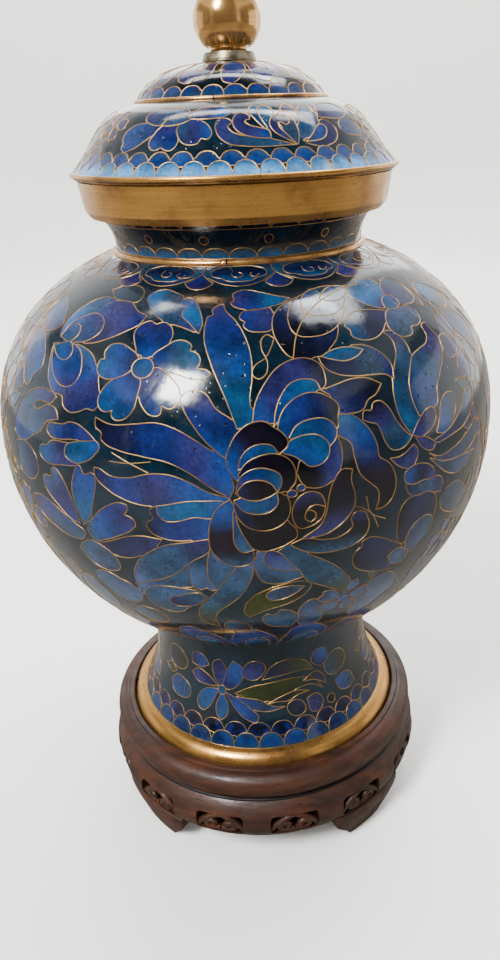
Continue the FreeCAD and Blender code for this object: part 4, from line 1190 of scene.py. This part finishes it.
def enamel_material():
    """Fired glass: deep mottled colour under a hard polish, with slow waves and a few open pits."""
    def build(name):
        made, tree, shader, place = material(name)
        frit = add_node(tree, "ShaderNodeVertexColor", {"layer_name": "Frit"}).outputs[0]
        grain = clouds(tree, place, 0.0011, 0.72, 1.25, edge=(0.25, 0.75))
        patch = clouds(tree, place, 0.009, 0.50, 1.45, edge=(0.25, 0.75))
        colour = toned(tree, toned(tree, frit, grain), patch)
        pits = clouds(tree, place, 0.0016, 0.0, 1.0, detail=1.0, edge=(0.70, 0.78))
        colour = mixed(tree, pits, colour, srgb("#05080f"))
        tree.links.new(colour, shader.inputs["Base Color"])
        rough = clouds(tree, place, 0.004, 0.09, 0.17)
        tree.links.new(rough, shader.inputs["Roughness"])
        shader.inputs["IOR"].default_value = GLASS_IOR
        shader.inputs["Specular IOR Level"].default_value = GLASS_SHINE
        waves = clouds(tree, place, 0.008, 0, 1, edge=(0, 1))
        raised(tree, shader, [(waves, 0.00006), (pits, -0.00006)])
        return made
    return made_once("Fired Enamel", build)


def wire_material():
    """Drawn gilt copper, rubbed flush and bright on top, brown where the gilding has gone."""
    def build(name):
        made, tree, shader, place = material(name)
        settings = bpy.context.scene.jar_enamel
        worn = clouds(tree, place, 0.009, 0, 1)
        colour = mixed(tree, worn, settings.wire_colour, srgb("#7d5c36"))
        tree.links.new(colour, shader.inputs["Base Color"])
        tree.links.new(clouds(tree, place, 0.003, 0.28, 0.5), shader.inputs["Roughness"])
        shader.inputs["Metallic"].default_value = WIRE_BARE
        raised(tree, shader, [(clouds(tree, place, 0.0008, 0, 1), 0.00002)])
        return made
    return made_once("Gilt Cloison Wire", build)


def metal(name, clean, stain, patch, stained, rough, lines, pits):
    """Worked metal: clean and stained patches, fine lines round it from turning, and pits."""
    made, tree, shader, place = material(name)
    tarnish = clouds(tree, place, patch, 0, 1, edge=stained, detail=5.0)
    streak = clouds(tree, place, 0.0005, 0.86, 1.1, stretch=(60, 60, 1), detail=4.0)
    colour = toned(tree, mixed(tree, tarnish, clean, stain), streak)
    tree.links.new(colour, shader.inputs["Base Color"])
    smear = clouds(tree, place, patch * 0.6, rough[0], rough[1], detail=4.0)
    tree.links.new(smear, shader.inputs["Roughness"])
    shader.inputs["Metallic"].default_value = BRASS_BARE
    turned = clouds(tree, place, 0.0003, 0, 1, stretch=(80, 80, 1), detail=2.0)
    pitted = clouds(tree, place, 0.0012, 0, 1, detail=2.0, edge=(0.62, 0.75))
    raised(tree, shader, [(turned, lines), (pitted, -pits)])
    return made


def brushed_brass():
    """Satin gilt brass, brushed round the ring, with soft brown blotches in the gilding."""
    settings = bpy.context.scene.jar_brass
    return made_once("Brushed Gilt Brass", lambda name: metal(
        name, settings.gilt_colour, settings.stain_colour, 0.016, (0.48, 0.78), (0.22, 0.38),
        0.000012, 0.000004))


def polished_brass():
    """The ball: bright polished gilding, worn brown in spots where fingers hold it."""
    settings = bpy.context.scene.jar_brass
    return made_once("Polished Gilt Brass", lambda name: metal(
        name, srgb("#c09458"), settings.stain_colour, 0.008, (0.50, 0.85), (0.12, 0.24),
        0.000003, 0.000004))


def copper_neck_brass():
    """The thin ring at the neck: warmer, redder gilding over copper."""
    return made_once("Gilt Copper Ring", lambda name: metal(
        name, srgb("#b98a52"), srgb("#6e4426"), 0.009, (0.45, 0.75), (0.2, 0.34), 0.000008, 0.00002))


def dull_brass():
    """Turned brass left to dull, greyish like pewter."""
    settings = bpy.context.scene.jar_brass
    return made_once("Dull Turned Brass", lambda name: metal(
        name, settings.collar_colour, srgb("#574d3c"), 0.004, (0.4, 0.7), (0.3, 0.48), 0.00002, 0.00003))


def bare_copper():
    """Spun copper browned by the kiln, only seen at cut edges."""
    return made_once("Kiln Browned Copper", lambda name: metal(
        name, srgb("#b5684a"), srgb("#6b3626"), 0.012, (0.4, 0.7), (0.32, 0.5), 0.00002, 0.00002))


def counter_enamel():
    """The inside coat: one plain blue glass, thinner and wavier than the outside."""
    def build(name):
        made, tree, shader, place = material(name)
        patch = clouds(tree, place, 0.012, 0, 1, edge=(0.2, 0.8))
        colour = mixed(tree, patch, srgb("#1a6f8c"), srgb("#2c93ab"))
        specks = clouds(tree, place, 0.0009, 0, 0.8, detail=1.0, edge=(0.66, 0.76))
        colour = mixed(tree, specks, colour, srgb("#0d3442"))
        tree.links.new(colour, shader.inputs["Base Color"])
        tree.links.new(clouds(tree, place, 0.006, 0.12, 0.26), shader.inputs["Roughness"])
        waves = clouds(tree, place, 0.005, 0, 1, edge=(0, 1))
        raised(tree, shader, [(waves, 0.0002), (specks, -0.00005)])
        return made
    return made_once("Counter Enamel", build)


def wood(name, dark, light, rough, coat):
    """Straight-grained wood under a finish: long streaks, fine pores, and a worn film of varnish."""
    made, tree, shader, place = material(name)
    streaks = clouds(tree, place, 0.0026, 0, 1, stretch=(34, 1.4, 1.4), detail=5.0, edge=(0.2, 0.8))
    figure = clouds(tree, place, 0.022, 0, 0.45, stretch=(3, 1, 1), edge=(0.3, 0.8))
    pores = clouds(tree, place, 0.0004, 0, 1, stretch=(16, 1, 1), detail=2.0, edge=(0.56, 0.72))
    colour = mixed(tree, streaks, dark, light)
    colour = mixed(tree, figure, colour, dark)
    colour = mixed(tree, pores, colour, tuple(0.45 * v for v in dark))
    tree.links.new(colour, shader.inputs["Base Color"])
    tree.links.new(clouds(tree, place, 0.008, rough[0], rough[1], detail=4.0), shader.inputs["Roughness"])
    shader.inputs["Coat Weight"].default_value = coat
    shader.inputs["Specular IOR Level"].default_value = WOOD_SHINE
    shader.inputs["Coat Roughness"].default_value = COAT_ROUGH
    dents = clouds(tree, place, 0.005, 0, 1, edge=(0.1, 0.9))
    raised(tree, shader, [(pores, -0.00006), (dents, 0.00012)])
    return made


def rosewood():
    """Dark red rosewood under a thin worn varnish."""
    settings = bpy.context.scene.jar_stand
    return made_once("Varnished Rosewood", lambda name: wood(
        name, settings.wood_dark, settings.wood_light, (0.42, 0.6), 0.08))


def groove_shade_wood():
    """Near-black wood laid in the groove under the band's top as painted shade, darkening it like a deep
    groove's shadow.
    """
    return made_once("Black Groove Shade", lambda name: wood(
        name, srgb("#060302"), srgb("#120806"), (0.5, 0.7), 0.0))


def dowel_wood():
    """Bare pale wood of the dowels inside the stand."""
    return made_once("Bare Dowel Wood", lambda name: wood(
        name, srgb("#7d5a36"), srgb("#b08a5c"), (0.6, 0.8), 0.0))


def felt(name, code):
    """Felt put round the jar, seen only in its reflections, to keep them from going white."""
    def build(name):
        made, tree, shader, place = material(name)
        nap = clouds(tree, place, 0.002, 0, 1)
        shade = mixed(tree, nap, srgb(code), tuple(0.8 * v for v in srgb(code)))
        tree.links.new(shade, shader.inputs["Base Color"])
        tree.links.new(clouds(tree, place, 0.004, 0.8, 0.95), shader.inputs["Roughness"])
        return made
    return made_once(name, build)


def floor_material():
    """Matt painted board, close to white."""
    def build(name):
        made, tree, shader, place = material(name)
        colour = tuple(bpy.context.scene.jar_stage.floor_colour)
        soft = clouds(tree, place, 0.25, 0, 1)
        shade = mixed(tree, soft, colour, tuple(0.985 * v for v in colour))
        tree.links.new(shade, shader.inputs["Base Color"])
        tree.links.new(clouds(tree, place, 0.05, 0.7, 0.85), shader.inputs["Roughness"])
        raised(tree, shader, [(clouds(tree, place, 0.0015, 0, 1), 0.00004)])
        return made
    return made_once("Pale Painted Board", build)


# ---------------------------------------------------------------- operators

def painted(names, build):
    """Gives carried-over nodes their finish."""
    for name in names:
        paint(NODES[name], build())


class JarPiece:
    """What the operators share: they can be undone, and they fail aloud."""
    bl_options = {"REGISTER", "UNDO"}


class MESH_OT_jar_belly_enamel(JarPiece, bpy.types.Operator):
    """Builds the enamel of the belly: peony, blossoms, lotus, waist petals and shoulder clouds"""
    bl_idname = "mesh.jar_belly_enamel"
    bl_label = "Belly Enamel"

    def execute(self, context):
        enamel_surface(
            "belly", belly_surface(), belly_pattern, belly_ground, "jar",
            ["belly_enamel_lower", "belly_enamel_upper"])
        return {"FINISHED"}


class MESH_OT_jar_neck_enamel(JarPiece, bpy.types.Operator):
    """Builds the enamel of the neck: a row of scales under little rings"""
    bl_idname = "mesh.jar_neck_enamel"
    bl_label = "Neck Enamel"

    def execute(self, context):
        enamel_surface("neck", neck_surface(), neck_pattern, plain_ground("d"), "jar", ["neck_enamel"])
        return {"FINISHED"}


class MESH_OT_jar_foot_enamel(JarPiece, bpy.types.Operator):
    """Builds the enamel of the foot: flowers over two rows of scales"""
    bl_idname = "mesh.jar_foot_enamel"
    bl_label = "Foot Enamel"

    def execute(self, context):
        surface = Turned(smooth_outline(FOOT_OUTLINE))
        enamel_surface("foot", surface, foot_pattern, plain_ground("e"), "jar", ["foot_enamel"])
        return {"FINISHED"}


RIM_UP = 0.7        # mm up the skirt from its edge
RIM_WIRE = 0.8      # radius in mm of the brass bead round the edge
RIM_SUNK = 0.45     # share of that radius by which the bead is let into the edge


def ring_line(s):
    """A line once round a surface, s mm along its wall."""
    return np.stack([np.linspace(-180, 180, 241), np.full(241, s)], 1)


class MESH_OT_jar_lid_skirt(JarPiece, bpy.types.Operator):
    """Builds the enamel of the lid's skirt: lotus and leaves over two rows of scales"""
    bl_idname = "mesh.jar_lid_skirt"
    bl_label = "Lid Skirt Enamel"

    def execute(self, context):
        surface = Turned(smooth_outline(SKIRT_OUTLINE))
        enamel_surface("lid_skirt", surface, skirt_pattern, plain_ground("e"), "lid", ["lid_skirt_enamel"])
        ring = laid_wires(
            "lid_rim", surface, [ring_line(RIM_UP)], RIM_WIRE * RIM_SUNK, RIM_WIRE * MM, brushed_brass(), 12)
        fitted(ring, "lid")
        return {"FINISHED"}


class MESH_OT_jar_lid_cap(JarPiece, bpy.types.Operator):
    """Builds the enamel of the lid's cap: leaves over a row of scales"""
    bl_idname = "mesh.jar_lid_cap"
    bl_label = "Lid Cap Enamel"

    def execute(self, context):
        surface = Turned(smooth_outline(CAP_OUTLINE))
        enamel_surface("lid_cap", surface, cap_pattern, plain_ground("d"), "lid", ["lid_cap_enamel"])
        return {"FINISHED"}


class MESH_OT_jar_body_metal(JarPiece, bpy.types.Operator):
    """Finishes the copper shells and the plain coat inside them"""
    bl_idname = "mesh.jar_body_metal"
    bl_label = "Copper and Lining"

    def execute(self, context):
        painted(["copper_bowl", "copper_shoulder", "copper_neck", "copper_foot", "lid_copper"], bare_copper)
        painted(["lining_bowl", "lining_shoulder", "lining_neck", "foot_lining", "lid_lining",
                 "base_enamel"], counter_enamel)
        return {"FINISHED"}


class MESH_OT_jar_brass(JarPiece, bpy.types.Operator):
    """Finishes the gilt brass rings of the mouth, lid, neck and foot"""
    bl_idname = "mesh.jar_brass"
    bl_label = "Brass Rings"

    def execute(self, context):
        painted(["mouth_band", "mouth_liner", "lid_lip_ring", "lid_collar", "foot_ring"], brushed_brass)
        painted(["neck_ring", "lid_step_ring"], copper_neck_brass)
        return {"FINISHED"}


class MESH_OT_jar_finial(JarPiece, bpy.types.Operator):
    """Finishes the ball, and the washer, stud and nut that hold it"""
    bl_idname = "mesh.jar_finial"
    bl_label = "Finial"

    def execute(self, context):
        painted(["finial_ball"], polished_brass)
        painted(["finial_washer", "finial_stud", "finial_nut", "backing_washer"], dull_brass)
        return {"FINISHED"}


WINDOWS = 14
SCROLL_R = 1.15     # radius in mm of the carved scrolls
SCROLL_SUNK = 1.1   # times that radius that they lie below the band's surface
SCROLL_STEP = 0.6
GROOVE_R = 0.8      # radius in mm of the black ring laid in the groove as painted shade
GROOVE_SUNK = 0.2
GROOVE_DOWN = 0.3   # mm below the top of the band
BAND_OUTLINE = [(61.5, 15.6), (63.4, 20.0), (63.4, 24.5), (61.4, 29.0), (59.0, 31.5)]
SCROLLS = [
    [(8.6, 1.4), (7.6, 4.6), (5.2, 7.4), (2.4, 9.6), (0, 10.8)],
    [(0, 3.0), (2.2, 2.4), (4.6, 3.4), (5.2, 5.6), (3.4, 6.9), (1.8, 6.0), (2.4, 4.6)],
]
FOOT_LEVELS = [
    # height, half the width, outer radius, in mm
    (15.6, 18.0, 62.3), (12.0, 18.0, 62.2), (9.5, 16.9, 61.7), (6.5, 14.2, 60.8), (3.5, 11.2, 59.8),
    (1.2, 9.4, 59.0), (0.0, 9.0, 58.8),
]
FOOT_INNER_R = 54.2
FOOT_COLUMNS = 13
FOOT_BEVEL = 0.7
SHARP = math.radians(40)


def settled_mesh(name, bm):
    """The mesh with its points and faces in one fixed order, which a bevel does not give."""
    order = sorted(bm.verts, key=lambda v: [round(c, 7) for c in v.co])
    number = {v: i for i, v in enumerate(order)}
    faces = [[number[v] for v in face.verts] for face in bm.faces]
    mesh = bpy.data.meshes.new(name)
    mesh.from_pydata([v.co for v in order], [], sorted(faces, key=sorted))
    return mesh


def stand_foot(name, angle):
    """A bracket foot whose sides slant in to a narrow flat sole."""
    bm = bmesh.new()
    rings = []
    for z, half, outer in FOOT_LEVELS:
        across = np.linspace(-half, half, FOOT_COLUMNS) / outer
        ring = [(outer, a) for a in across] + [(FOOT_INNER_R, a) for a in across[::-1]]
        rings.append([
            bm.verts.new((r * MM * math.sin(angle + a), -r * MM * math.cos(angle + a), z * MM))
            for r, a in ring])
    for high, low in zip(rings, rings[1:]):
        for i in range(len(high)):
            j = (i + 1) % len(high)
            bm.faces.new((high[i], high[j], low[j], low[i]))
    bm.faces.new(rings[0])
    bm.faces.new(rings[-1][::-1])
    bmesh.ops.recalc_face_normals(bm, faces=bm.faces)
    sharp = [e for e in bm.edges if e.calc_face_angle(0) > SHARP]
    bmesh.ops.bevel(bm, geom=sharp, offset=FOOT_BEVEL * MM, segments=3, affect="EDGES", profile=0.5)
    bmesh.ops.triangulate(bm, faces=[f for f in bm.faces if len(f.verts) > 4])
    mesh = settled_mesh(name, bm)
    bm.free()
    mesh.polygons.foreach_set("use_smooth", [True] * len(mesh.polygons))
    mesh.set_sharp_from_angle(angle=SHARP)
    return new_piece(name, mesh)


class MESH_OT_jar_stand(JarPiece, bpy.types.Operator):
    """Finishes the wooden stand and its dowels"""
    bl_idname = "mesh.jar_stand"
    bl_label = "Wooden Stand"

    def execute(self, context):
        sides = ("front", "right", "back", "left")
        corners = ("front_right", "back_right", "back_left", "front_left")
        painted(["stand_top_ring", "stand_seat_board"], rosewood)
        painted([side + "_band" for side in sides], rosewood)
        painted(["foot_dowels"], dowel_wood)
        for corner, angle in zip(corners, (45, 135, 225, 315)):
            foot = stand_foot(corner + "_bracket", math.radians(angle))
            paint(foot, rosewood())
            fitted(foot, "stand")
            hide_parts(corner + "_foot")
        surface = Turned(smooth_outline(BAND_OUTLINE))
        runs = []
        for k in range(WINDOWS):
            middle = ((k + 0.5) * 360 / WINDOWS + 180) % 360 - 180
            for line in SCROLLS:
                for side in (-1, 1):
                    scroll = np.array(line) * [side, 1] + [middle, 0]
                    runs.append(wire_line(scroll, False, surface, SCROLL_STEP))
        # A black ring laid in the groove under the band's top: painted shade, standing in for the groove's
        # shadow.
        groove = laid_wires(
            "stand_groove_shade", surface, [ring_line(surface.high - GROOVE_DOWN)], GROOVE_SUNK,
            GROOVE_R * MM, groove_shade_wood(), 12)
        fitted(groove, "stand")
        scrolls = laid_wires(
            "stand_scrolls", surface, runs, SCROLL_R * SCROLL_SUNK, SCROLL_R * MM, rosewood(), 10)
        fitted(scrolls, "stand")
        return {"FINISHED"}


LIGHTS = [
    # name, place, what it points at, width and height in metres, share of the window's power
    ("Window", (-0.416, -0.668, 0.927), (0, 0, 0.16), (0.23, 0.34), 1.0),
    ("Overhead", (0.443, 0.287, 1.238), (0, 0, 0.16), (0.42, 0.42), 0.26),
    ("Left Wall", (-1.128, 0.395, 0.273), (0, 0, 0.16), (1.1, 0.7), 0.09),
    ("Right Wall", (1.128, 0.395, 0.273), (0, 0, 0.16), (1.1, 0.7), 0.13),
    ("Back Wall", (0, 1.2, 1.06), (0, 0, 0.16), (1.3, 1.3), 0.6),
    ("Backdrop", (0, 0.45, 1.5), (0, 1.6, 0.5), (1.2, 0.6), 1.3),
]
CAMERA_YAW = -0.0434
CAMERA_PITCH = 0.4366
CAMERA_ROLL = -0.0375
CAMERA_ROUND = math.radians(5)
CAMERA_BACK = 0.2711
CAMERA_UP = 0.2581
CAMERA_LENS = 29.306
CAMERA_SHIFT = (-0.0351, 0.0034)
FLOOR_R = 1.5
SWEEP_R = 0.6
SWEEP_STEPS = 12
SWEEP_SIDES = 96
WALL_TOP = 3.0
SKY_COLOUR = (0.93, 0.95, 1.0, 1)
SKY_STRENGTH = 0.12
FLAGS = [
    # cloth, its colour, and its corners in metres
    # On the floor, all round the jar and then before it
    ("Pale Grey Felt", "#7c776e",
     [(-1.4, -1.4, 0.001), (1.4, -1.4, 0.001), (1.4, 1.0, 0.001), (-1.4, 1.0, 0.001)]),
    ("Olive Grey Felt", "#6d685a",
     [(-0.60, -1.1, 0.002), (0.42, -1.1, 0.002), (0.085, -0.07, 0.002), (-0.10, -0.07, 0.002)]),
    # Standing behind the camera, and on each side
    ("Black Felt", "#2e2b25",
     [(-1.3, -1.2, 0.0), (1.0, -1.2, 0.0), (1.0, -1.2, 2.6), (-1.3, -1.2, 2.6)]),
    ("Grey Felt", "#5f5b54",
     [(-1.38, -1.2, 0.0), (-1.38, 0.9, 0.0), (-1.38, 0.9, 1.1), (-1.38, -1.2, 1.1)]),
    ("Grey Felt", "#5f5b54",
     [(1.38, -1.2, 0.0), (1.38, 0.9, 0.0), (1.38, 0.9, 1.1), (1.38, -1.2, 1.1)]),
]


def jar_camera():
    """A close hand-held view from a little above the lid."""
    cy, sy = math.cos(CAMERA_YAW), math.sin(CAMERA_YAW)
    cp, sp = math.cos(CAMERA_PITCH), math.sin(CAMERA_PITCH)
    cr, sr = math.cos(CAMERA_ROLL), math.sin(CAMERA_ROLL)
    level = Vector((cy, sy, 0))
    ahead = Vector((-sy * cp, cy * cp, -sp))
    above = Vector((-sy * sp, cy * sp, cp))
    right = level * cr + above * sr
    up = above * cr - level * sr
    turn = Matrix.Rotation(CAMERA_ROUND, 4, "Z")
    axes = Matrix((right, up, -ahead)).transposed().to_4x4()
    data = bpy.data.cameras.new("Camera")
    data.lens = CAMERA_LENS
    data.sensor_width = 36
    data.shift_x, data.shift_y = CAMERA_SHIFT
    data.clip_start = 0.01
    camera = bpy.data.objects.new("Camera", data)
    bpy.context.scene.collection.objects.link(camera)
    camera.matrix_world = turn @ Matrix.Translation((0, -CAMERA_BACK, CAMERA_UP)) @ axes
    bpy.context.scene.camera = camera


def stage_floor():
    """A round floor that sweeps up into a wall, so that no edge shows."""
    sweep = [(FLOOR_R / 2, 0.0), (FLOOR_R, 0.0)]
    for i in range(1, SWEEP_STEPS + 1):
        a = math.pi / 2 * i / SWEEP_STEPS
        sweep.append((FLOOR_R + SWEEP_R * math.sin(a), SWEEP_R * (1 - math.cos(a))))
    sweep.append((FLOOR_R + SWEEP_R, WALL_TOP))
    turns = [2 * math.pi * i / SWEEP_SIDES for i in range(SWEEP_SIDES)]
    points = [(0, 0, 0)] + [(r * math.cos(t), r * math.sin(t), z) for r, z in sweep for t in turns]
    faces = []
    for i in range(SWEEP_SIDES):
        j = (i + 1) % SWEEP_SIDES
        faces.append((0, 1 + i, 1 + j))
        for k in range(len(sweep) - 1):
            low, high = 1 + k * SWEEP_SIDES, 1 + (k + 1) * SWEEP_SIDES
            faces.append((low + i, high + i, high + j, low + j))
    mesh = bpy.data.meshes.new("floor")
    mesh.from_pydata(points, [], faces)
    mesh.polygons.foreach_set("use_smooth", [True] * len(faces))
    floor = new_piece("floor", mesh)
    paint(floor, floor_material())


def stage_sky():
    """A faint plain fill from all round."""
    world = bpy.data.worlds.new("Studio")
    world.use_nodes = True
    background = world.node_tree.nodes["Background"]
    background.inputs[0].default_value = SKY_COLOUR
    background.inputs[1].default_value = SKY_STRENGTH
    bpy.context.scene.world = world


def stage_lights():
    """The soft lights, each turned to what it points at."""
    power = bpy.context.scene.jar_stage.window_power
    for name, place, aim, (wide, high), share in LIGHTS:
        data = bpy.data.lights.new(name, "AREA")
        data.shape = "RECTANGLE"
        data.size = wide
        data.size_y = high
        data.energy = power * share
        light = bpy.data.objects.new(name, data)
        bpy.context.scene.collection.objects.link(light)
        light.location = place
        light.rotation_mode = "QUATERNION"
        light.rotation_quaternion = (Vector(place) - Vector(aim)).to_track_quat("Z", "Y")


def stage_flags():
    """Felt that only reflections see: it keeps the polished glass dark where the room is dark."""
    for cloth, colour, corners in FLAGS:
        mesh = bpy.data.meshes.new("flag")
        mesh.from_pydata(corners, [], [(0, 1, 2, 3)])
        flag = new_piece("flag", mesh)
        flag.visible_camera = False
        flag.visible_diffuse = False
        flag.visible_shadow = False
        paint(flag, felt(cloth, colour))


class MESH_OT_jar_stage(JarPiece, bpy.types.Operator):
    """Sets the pale floor, the soft lights, the felt round the jar and the camera"""
    bl_idname = "mesh.jar_stage"
    bl_label = "Stage"

    def execute(self, context):
        stage_floor()
        stage_sky()
        stage_lights()
        stage_flags()
        jar_camera()
        return {"FINISHED"}


OPERATORS = [
    MESH_OT_jar_belly_enamel, MESH_OT_jar_neck_enamel, MESH_OT_jar_foot_enamel, MESH_OT_jar_lid_skirt,
    MESH_OT_jar_lid_cap, MESH_OT_jar_body_metal, MESH_OT_jar_brass, MESH_OT_jar_finial,
    MESH_OT_jar_stand, MESH_OT_jar_stage,
]
SETTINGS = {
    "jar_enamel": JarEnamelSettings,
    "jar_brass": JarBrassSettings,
    "jar_stand": JarStandSettings,
    "jar_stage": JarStageSettings,
}


class VIEW3D_PT_jar(bpy.types.Panel):
    """Buttons for every piece of the jar, over their settings"""
    bl_label = "Covered Jar"
    bl_idname = "VIEW3D_PT_jar"
    bl_space_type = "VIEW_3D"
    bl_region_type = "UI"
    bl_category = "Jar"

    def draw(self, context):
        for operator in OPERATORS:
            self.layout.operator(operator.bl_idname)
        for group, kind in SETTINGS.items():
            box = self.layout.box()
            for name in kind.__annotations__:
                box.prop(getattr(context.scene, group), name)


def register():
    for kind in [*SETTINGS.values(), *OPERATORS, VIEW3D_PT_jar]:
        bpy.utils.register_class(kind)
    for group, kind in SETTINGS.items():
        setattr(bpy.types.Scene, group, PointerProperty(type=kind))


def unregister():
    for group in SETTINGS:
        delattr(bpy.types.Scene, group)
    for kind in reversed([*SETTINGS.values(), *OPERATORS, VIEW3D_PT_jar]):
        bpy.utils.unregister_class(kind)


def main():
    register()
    for operator in OPERATORS:
        group, name = operator.bl_idname.split(".")
        result = getattr(getattr(bpy.ops, group), name)()
        if result != {"FINISHED"}:
            raise RuntimeError(operator.bl_label + " did not finish")


if __name__ == "__main__":
    main()
